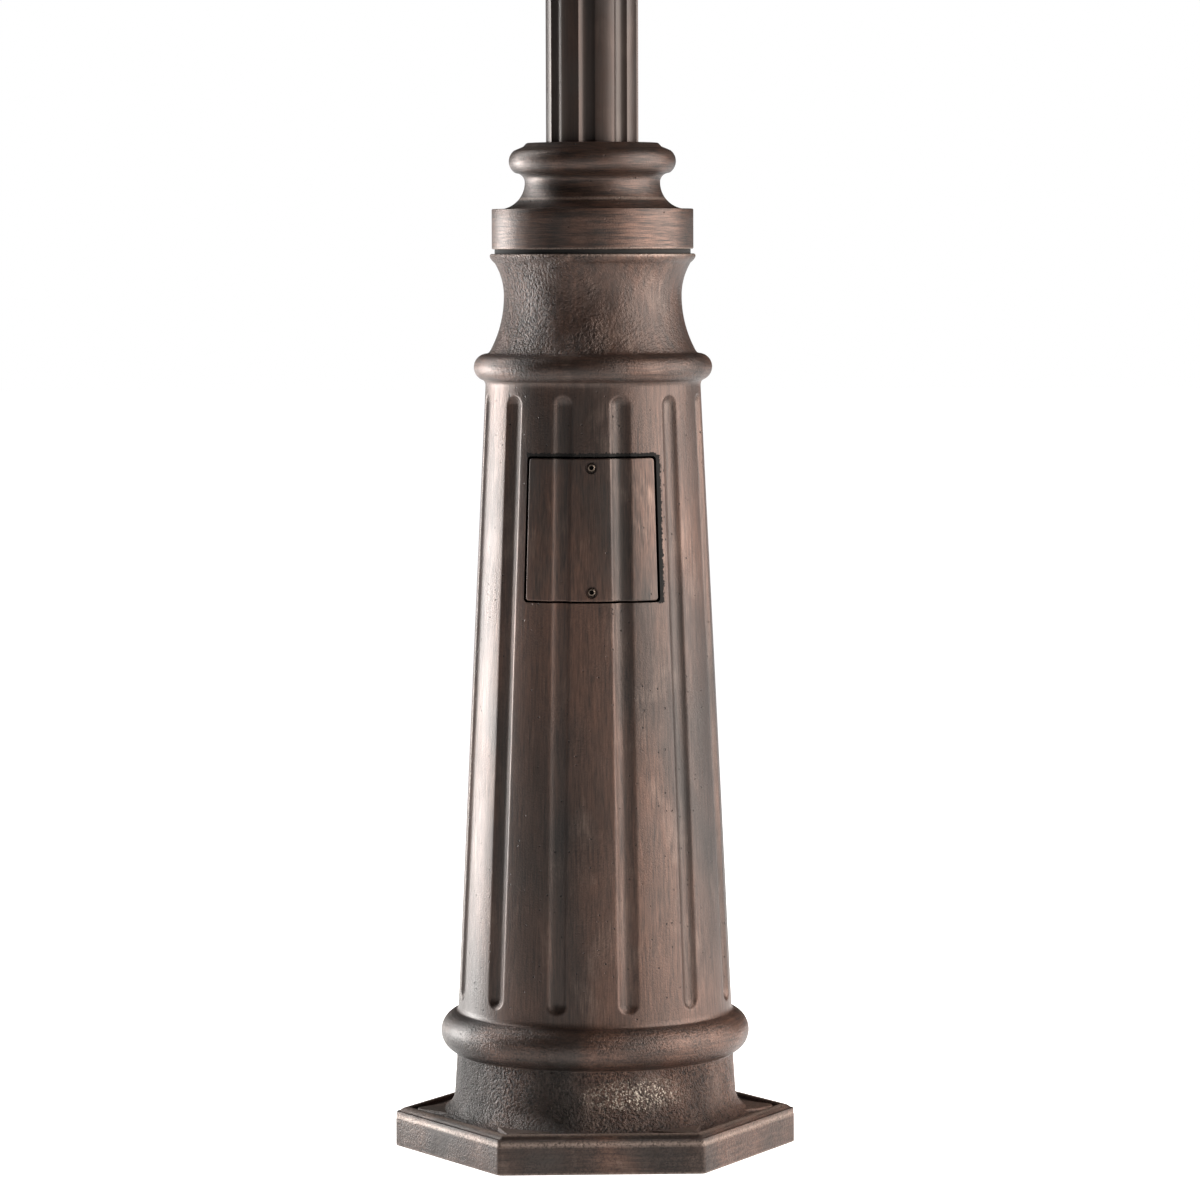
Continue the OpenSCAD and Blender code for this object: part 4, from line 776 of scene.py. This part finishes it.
def makeCollar():
    c = collarSizes
    cove = (c["waist"] + c["coveRadius"], c["waistHeight"])
    upper = (c["waist"] + c["topCoveRadius"], c["waistHeight"])
    band = [(c["neckRadius"], c["foot"]), (c["neckRadius"], c["bandFoot"]),
            (c["bandRadius"] - 0.9, c["bandFoot"]), (c["bandRadius"], c["bandFoot"] + 0.9),
            (c["bandRadius"], c["bandFoot"] + 12),
            (c["bandRadius"], c["bandTop"] - 12), (c["bandRadius"], c["bandTop"] - 1),
            (c["bandRadius"] - 0.3, c["bandTop"] - 0.3), (c["bandRadius"] - 1, c["bandTop"])]
    bead = arcPoints((c["beadRadius"] - c["bead"], c["beadHeight"]), c["bead"], -58, 52, 22)
    crown = [(c["topRadius"] + 3.6, c["top"] - 3.8), (c["topRadius"] + 1, c["top"] - 0.8),
             (c["topRadius"] - 0.4, c["top"])]
    outside = joined([band, arcPoints(cove, c["coveRadius"], 268, 180, 20),
                      arcPoints(upper, c["topCoveRadius"], 180, 104, 8), bead], 1.2) + crown
    inside = [(c["bore"], c["top"]), (c["bore"], c["waistHeight"]),
              (c["waist"] - c["wall"], c["waistHeight"]),
              (c["waist"] - c["wall"], c["bandTop"] + 6), (c["bandRadius"] - 16, c["bandTop"] - 10),
              (c["bandRadius"] - 16, c["foot"])]
    piece = turned("baseCollar", [(r, z, 0.0) for r, z in outside + inside], bronzeCollar, sectors=12,
                   columns=20)
    # the neck below the band is painted near black: painted shade of the gap between the casting's lip and
    # the collar
    zoneMaterials(piece, [(0, jointShadow), (c["bandFoot"], bronzeCollar)])
    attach(piece, "post")
    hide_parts("base_collar")


shaftSizes = {              # millimetres; the tube's length comes from the frame
    "radius": 50.8, "bore": 43, "flutes": 8, "firstFlute": -95.5, "fluteRadius": 10.2, "fluteDepth": 5,
    "softness": 0.55, "cableHole": 9, "cableHoleHeight": 838,
}


def makeShaft():
    s = shaftSizes
    low, high = (corner[2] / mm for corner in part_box("fluted_post"))
    rows = [low, low + 20, 400, 800, 900, 1100, 1125, 1280, 1700, high - 30, high]
    outline = [(s["radius"], z, 1.0) for z in rows] + [(s["bore"], z, 0.0) for z in (high, low)]
    piece = turned("flutedShaft", outline, bronzeShaft, sectors=s["flutes"], columns=34,
                   firstFlute=s["firstFlute"], gather=0.35, fluteRadius=s["fluteRadius"],
                   fluteDepth=s["fluteDepth"], fluteFoot=low - 500, fluteTop=high + 500,
                   softness=s["softness"])
    hole = arcPoints((0, s["cableHoleHeight"]), s["cableHole"], 0, 360, 32)[:-1]
    carve(piece, prismAlongY("cableHoleCutter", hole, -20, -80))
    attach(piece, "post")
    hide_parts("fluted_post")


makeCollar()
makeShaft()
print("collar and shaft made")


# ---- finial: base ring, stem, collar, ball and spike, turned in one
finialSizes = {"base": 34, "ball": 30, "ballHeight": 78, "neck": 11, "boltRoom": 26.5}


def makeFinial():
    f = finialSizes
    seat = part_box("case_drum")[1][2] / mm
    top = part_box("finial")[1][2] / mm - seat
    stem = [(f["base"] - 1, 12), (24, 14), (17, 22), (12.5, 32), (f["neck"], 39.5)]
    ring = arcPoints((15.5, 44), 4.6, -110, 110, 12)
    ball = arcPoints((0, f["ballHeight"]), f["ball"], -66, 62, 26)
    spike = [(12.8, f["ballHeight"] + 28.5), (11.4, f["ballHeight"] + 33), (8, f["ballHeight"] + 44),
             (3, top - 6), (1.2, top - 1), (0.02, top)]
    foot = [(f["boltRoom"], 0.6), (f["base"] - 1, 0.6), (f["base"], 1.6), (f["base"], 11)]
    inside = [(0.02, 20), (6.2, 20), (6.2, 7), (f["boltRoom"], 7)]
    outside = foot + joined([stem, ring, ball, spike], 1.2) + inside
    piece = turned("topFinial", [(r, seat + z, 0.0) for r, z in outside], bronzeTurned, sectors=8, columns=8)
    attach(piece, "post")
    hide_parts("finial")


makeFinial()


# ---- fasteners: one screw, set on points that carry the way it faces
def buildFastenerTree():
    tree = bpy.data.node_groups.new("setFasteners", "GeometryNodeTree")
    face = tree.interface
    for name, kind in (("Places", "Geometry"), ("Fastener", "Object"), ("Size", "Float"),
                       ("Material", "Material")):
        face.new_socket(name, in_out="INPUT", socket_type="NodeSocket" + kind)
    face.new_socket("Geometry", in_out="OUTPUT", socket_type="NodeSocketGeometry")
    given = addNode(tree, "NodeGroupInput").outputs
    facing = addNode(tree, "GeometryNodeInputNamedAttribute", {"Name": "facing"},
                     data_type="FLOAT_VECTOR").outputs[0]
    turn = addNode(tree, "FunctionNodeAlignRotationToVector", {"Vector": facing}, axis="Z").outputs[0]
    fastener = addNode(tree, "GeometryNodeObjectInfo", {"Object": given["Fastener"]}).outputs["Geometry"]
    placed = addNode(tree, "GeometryNodeInstanceOnPoints", {
        "Points": given["Places"], "Instance": fastener, "Rotation": turn, "Scale": given["Size"]})
    real = addNode(tree, "GeometryNodeRealizeInstances", {"Geometry": placed.outputs[0]})
    painted = addNode(tree, "GeometryNodeSetMaterial", {
        "Geometry": real.outputs[0], "Material": given["Material"]})
    addNode(tree, "NodeGroupOutput", {0: painted.outputs[0]})
    return tree


fastenerTree = buildFastenerTree()
screwSizes = {              # millimetres
    "shank": 3.0, "head": 5.0, "headHeight": 3.3, "length": 16, "socket": 2.7, "socketDepth": 2.4,
    "sides": 24,
}


def buttonScrew():
    # domed head with a hexagon socket, on a plain shank, its head standing on z = 0
    s, sides = screwSizes, screwSizes["sides"]
    form = bmesh.new()
    rings = [(s["shank"], -s["length"]), (s["shank"], 0), (s["head"] - 0.3, 0), (s["head"], 0.3)]
    rings += [(s["head"] * cos(a), 0.5 + (s["headHeight"] - 0.5) * sin(a))
              for a in np.radians([0, 15, 32, 48, 60])]
    turns = [2 * pi * i / sides for i in range(sides)]
    loops = [[form.verts.new((radius * cos(a), radius * sin(a), height)) for a in turns]
             for radius, height in rings]
    rise = rings[-1][1]
    for radius, height in ((s["socket"] * 1.08, rise), (s["socket"], rise - 0.2),
                           (s["socket"], rise - s["socketDepth"])):
        tip = radius / cos(radians(30))
        corners = [(tip * cos(radians(60 * i)), tip * sin(radians(60 * i))) for i in range(7)]
        loop = []
        for i in range(sides):
            corner, share = i // 4, i % 4 / 4
            (x0, y0), (x1, y1) = corners[corner], corners[corner + 1]
            x, y = x0 * (1 - share) + x1 * share, y0 * (1 - share) + y1 * share
            loop.append(form.verts.new((x, y, height)))
        loops.append(loop)
    for low, high in zip(loops, loops[1:]):
        for i in range(sides):
            form.faces.new((low[i], low[(i + 1) % sides], high[(i + 1) % sides], high[i]))
    form.faces.new(list(reversed(loops[0])))
    form.faces.new(loops[-1])
    mesh = bpy.data.meshes.new("buttonScrew")
    bmesh.ops.scale(form, vec=(mm, mm, mm), verts=form.verts)
    form.to_mesh(mesh)
    form.free()
    # painted shade in the socket, which is the last two loops: the finish darkens it to near black
    storeHollow(mesh, [0.0] * sides * (len(loops) - 2) + [1.0] * sides * 2)
    faceOutwards(mesh)
    shadeSmooth(mesh, 30)
    return newObject("buttonScrew", mesh)


def setFasteners(name, fastener, places, size, material, body, nodes):
    # places: (point, facing) pairs in metres
    mesh = meshFrom(name, [point for point, _ in places], [])
    way = mesh.attributes.new("facing", "FLOAT_VECTOR", "POINT")
    way.data.foreach_set("vector", [v for _, facing in places for v in facing])
    piece = newObject(name, mesh)
    runTree(piece, fastenerTree, {"Fastener": fastener, "Size": size, "Material": material})
    shadeSmooth(piece.data, 30)
    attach(piece, body)
    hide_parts(*nodes)


def makeScrews():
    screw = buttonScrew()
    places = [((0, -(bodyRadius(z) - coverSizes["recessDepth"] + 0.2) * mm, z * mm), (0, -1, 0))
              for z in coverScrewHeights()]
    setFasteners("coverScrews", screw, places, 1.0, steelCoverScrew, "access_cover", ["cover_screws"])
    bpy.data.objects.remove(screw)


makeScrews()
print("fasteners set")


# ---- dial print: minute track, hour bars and plain numbers
def buildDialTree():
    tree = bpy.data.node_groups.new("dialTrack", "GeometryNodeTree")
    face = tree.interface
    for name, kind in (("Base", "Geometry"), ("Minutes", "Int"), ("Hours", "Int"), ("Minute radius", "Float"),
                       ("Hour radius", "Float"), ("Minute tick", "Vector"), ("Hour bar", "Vector"),
                       ("Turn", "Vector"), ("Place", "Vector"), ("Material", "Material")):
        face.new_socket(name, in_out="INPUT", socket_type="NodeSocket" + kind)
    face.new_socket("Geometry", in_out="OUTPUT", socket_type="NodeSocketGeometry")
    given = addNode(tree, "NodeGroupInput").outputs
    both = addNode(tree, "GeometryNodeJoinGeometry")
    for count, radius, size in (("Minutes", "Minute radius", "Minute tick"),
                                ("Hours", "Hour radius", "Hour bar")):
        circle = addNode(tree, "GeometryNodeMeshCircle", {"Vertices": given[count], "Radius": given[radius]})
        bar = addNode(tree, "GeometryNodeMeshCube", {"Size": given[size]})
        step = addNode(tree, "ShaderNodeMath", {0: 2 * pi, 1: given[count]}, operation="DIVIDE").outputs[0]
        index = addNode(tree, "GeometryNodeInputIndex").outputs[0]
        angle = addNode(tree, "ShaderNodeMath", {0: index, 1: step}, operation="MULTIPLY").outputs[0]
        turn = addNode(tree, "ShaderNodeCombineXYZ", {2: angle}).outputs[0]
        ring = addNode(tree, "GeometryNodeInstanceOnPoints", {
            "Points": circle.outputs[0], "Instance": bar.outputs[0], "Rotation": turn})
        tree.links.new(ring.outputs[0], both.inputs[0])
    real = addNode(tree, "GeometryNodeRealizeInstances", {"Geometry": both.outputs[0]})
    placed = addNode(tree, "GeometryNodeTransform", {
        "Geometry": real.outputs[0], "Rotation": given["Turn"], "Translation": given["Place"]})
    painted = addNode(tree, "GeometryNodeSetMaterial", {
        "Geometry": placed.outputs[0], "Material": given["Material"]})
    addNode(tree, "NodeGroupOutput", {0: painted.outputs[0]})
    return tree


dialTree = buildDialTree()
dialSizes = {               # millimetres
    "minuteRadius": 240, "minuteTick": (12, 2.2, 0.8), "hourRadius": 234, "hourBar": (24, 7, 0.9),
    "numberRadius": 196, "numberSize": 46, "thickness": 0.8,
}


def makeDialPrint(side):
    d = dialSizes
    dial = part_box(side + "_dial")
    outwards = -1 if side == "front" else 1
    face = dial[0][1] if side == "front" else dial[1][1]
    turn = (pi / 2, 0, 0 if side == "front" else pi)
    place = Vector((0, face + outwards * (d["thickness"] / 2 - 0.05) * mm, (dial[0][2] + dial[1][2]) / 2))
    piece = newObject(side + "DialPrint", bpy.data.meshes.new(side + "DialPrint"))
    runTree(piece, dialTree, {
        "Minutes": 60, "Hours": 12, "Minute radius": d["minuteRadius"] * mm,
        "Hour radius": d["hourRadius"] * mm, "Minute tick": [v * mm for v in d["minuteTick"]],
        "Hour bar": [v * mm for v in d["hourBar"]], "Turn": turn, "Place": tuple(place),
        "Material": dialBlack})
    form = bmesh.new()
    form.from_mesh(piece.data)
    frameTurn = (Matrix.Translation(place) @ Matrix.Rotation(turn[2], 4, "Z")
                 @ Matrix.Rotation(turn[0], 4, "X"))
    for hour in range(1, 13):
        text = bpy.data.curves.new("number", "FONT")
        text.body, text.align_x, text.align_y = str(hour), "CENTER", "CENTER"
        text.size, text.extrude = d["numberSize"] * mm, d["thickness"] / 2 * mm
        text.resolution_u = 6
        holder = newObject("number", text)
        letters = bpy.data.meshes.new_from_object(holder)
        angle = radians(90 - 30 * hour)
        spot = Vector((cos(angle), sin(angle), 0)) * d["numberRadius"] * mm
        letters.transform(frameTurn @ Matrix.Translation(spot))
        form.from_mesh(letters)
        bpy.data.objects.remove(holder)
        bpy.data.meshes.remove(letters)
    form.to_mesh(piece.data)
    form.free()
    piece.data.materials.clear()
    piece.data.materials.append(dialBlack)
    piece.data.polygons.foreach_set("material_index", [0] * len(piece.data.polygons))
    faceOutwards(piece.data)
    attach(piece, "post")
    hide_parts(side + "_hour_marks")


for side in ("front", "rear"):
    makeDialPrint(side)
print("dials printed")


# ---- finishes for the nodes that keep their own shape
finishes = {
    "collar_set_screws": steelScrew, "capital_set_screws": steelScrew, "anchor_plate": galvanised,
    "post_socket": galvanised, "socket_screws": steelScrew, "wiring_bracket": galvanised,
    "terminal_block": creamPlastic, "fuse_holder": blackPlastic, "earth_lug": brassTurned,
    "cable_grommet": blackRubber, "riser_cable": cableJacket, "post_capital": bronzeCase,
    "head_saddle": bronzeCase, "saddle_bolts": steelScrew, "case_drum": bronzeCase,
    "latch_keepers": brassTurned, "finial_stud": steelScrew, "movement_carrier": galvanised,
    "led_strips": ledBoard, "led_driver": blackPlastic,
}
sideFinishes = {
    "dial": dialOpal, "dial_screws": steelScrew, "bezel": bronzeCase, "glass": doorGlass,
    "glass_gasket": blackRubber, "hinge_pin": brassTurned, "latch": brassTurned,
    "movement_case": blackPlastic, "movement_plate": brassTurned, "motor": steelScrew,
    "minute_arbor": steelScrew, "intermediate_wheel": brassTurned, "hour_wheel": brassTurned,
    "minute_hand": handPaint, "hour_hand": handPaint, "hand_nut": brassTurned,
}
for side in ("front", "rear"):
    finishes.update({side + "_" + name: material for name, material in sideFinishes.items()})
for name, material in finishes.items():
    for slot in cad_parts[name].material_slots:
        slot.material = material
print("finishes set on", len(finishes), "nodes")


# ---- floor, light and camera
studio = {"floor": 60.0, "floorTone": "#e9e8e6", "floorGlow": 1.0, "surround": 0.03}      # floor in metres
softboxes = {               # degrees round the post from the front (positive to the right), metres, watts
    "key": {"angle": -118, "distance": 2.6, "height": 0.52, "size": (0.9, 1.05), "power": 90,
            "colour": "#fffefc"},
    "crown": {"angle": -119, "distance": 2.6, "height": 2.3, "size": (0.9, 2.4), "power": 90,
              "colour": "#fffefc"},
    "side": {"angle": 78, "distance": 2.8, "height": 1.7, "size": (3.7, 3.4), "power": 312,
             "colour": "#fff8f2"},
    "fill": {"angle": 25, "distance": 4.0, "height": 1.2, "size": (1.2, 2.4), "power": 3.5,
             "colour": "#fffaf5"},
}


def softbox(name, s):
    lamp = bpy.data.lights.new(name + "Softbox", "AREA")
    lamp.shape, lamp.size, lamp.size_y = "RECTANGLE", *s["size"]
    lamp.energy, lamp.color = s["power"], linearColour(s["colour"])[:3]
    holder = newObject(name + "Softbox", lamp)
    turn = radians(s["angle"])
    towards = Vector((sin(turn), -cos(turn), 0))
    holder.location = s["distance"] * towards + Vector((0, 0, s["height"]))
    holder.rotation_euler = (-towards).to_track_quat("-Z", "Y").to_euler()


def makeStudio():
    s = studio
    half = s["floor"] / 2
    corners = [(-half, -half, 0), (half, -half, 0), (half, half, 0), (-half, half, 0)]
    floor = newObject("floor", meshFrom("floor", corners, [(0, 1, 2, 3)]))
    paper = newMaterial("palePaper", Base_Color=s["floorTone"], Roughness=0.9, Emission_Color="#ffffff",
                        Emission_Strength=s["floorGlow"])[0]
    floor.data.materials.append(paper)
    world = bpy.data.worlds.new("studio")
    world.use_nodes = True
    tree = world.node_tree
    # white behind the object, but only as bright as the surround where it lights it
    seen = addNode(tree, "ShaderNodeLightPath").outputs["Is Camera Ray"]
    strength = addNode(tree, "ShaderNodeMapRange", {"Value": seen, "To Min": s["surround"], "To Max": 1.0})
    tree.links.new(strength.outputs[0], tree.nodes["Background"].inputs["Strength"])
    tree.nodes["Background"].inputs["Color"].default_value = (1, 1, 1, 1)
    bpy.context.scene.world = world
    for name, settings in softboxes.items():
        softbox(name, settings)
    bpy.context.scene.view_settings.view_transform = "Standard"


cameraPlace = {             # metres and degrees
    "distance": 5.5, "height": 0.99, "round": 1.0, "down": 4.004, "aimRight": 0.072, "roll": -0.18,
    "lens": 150,            # millimetres
}


def makeCamera():
    c = cameraPlace
    camera = bpy.data.cameras.new("camera")
    camera.lens, camera.sensor_width = c["lens"], 36
    camera.clip_end = 100
    holder = newObject("camera", camera)
    turn = radians(c["round"])
    place = Matrix.Translation((c["distance"] * sin(turn), -c["distance"] * cos(turn), c["height"]))
    holder.matrix_world = (place @ Matrix.Rotation(radians(c["round"] - c["aimRight"]), 4, "Z")
                           @ Matrix.Rotation(radians(90 - c["down"]), 4, "X")
                           @ Matrix.Rotation(radians(c["roll"]), 4, "Z"))
    bpy.context.scene.camera = holder


makeStudio()
makeCamera()
print("studio and camera set")
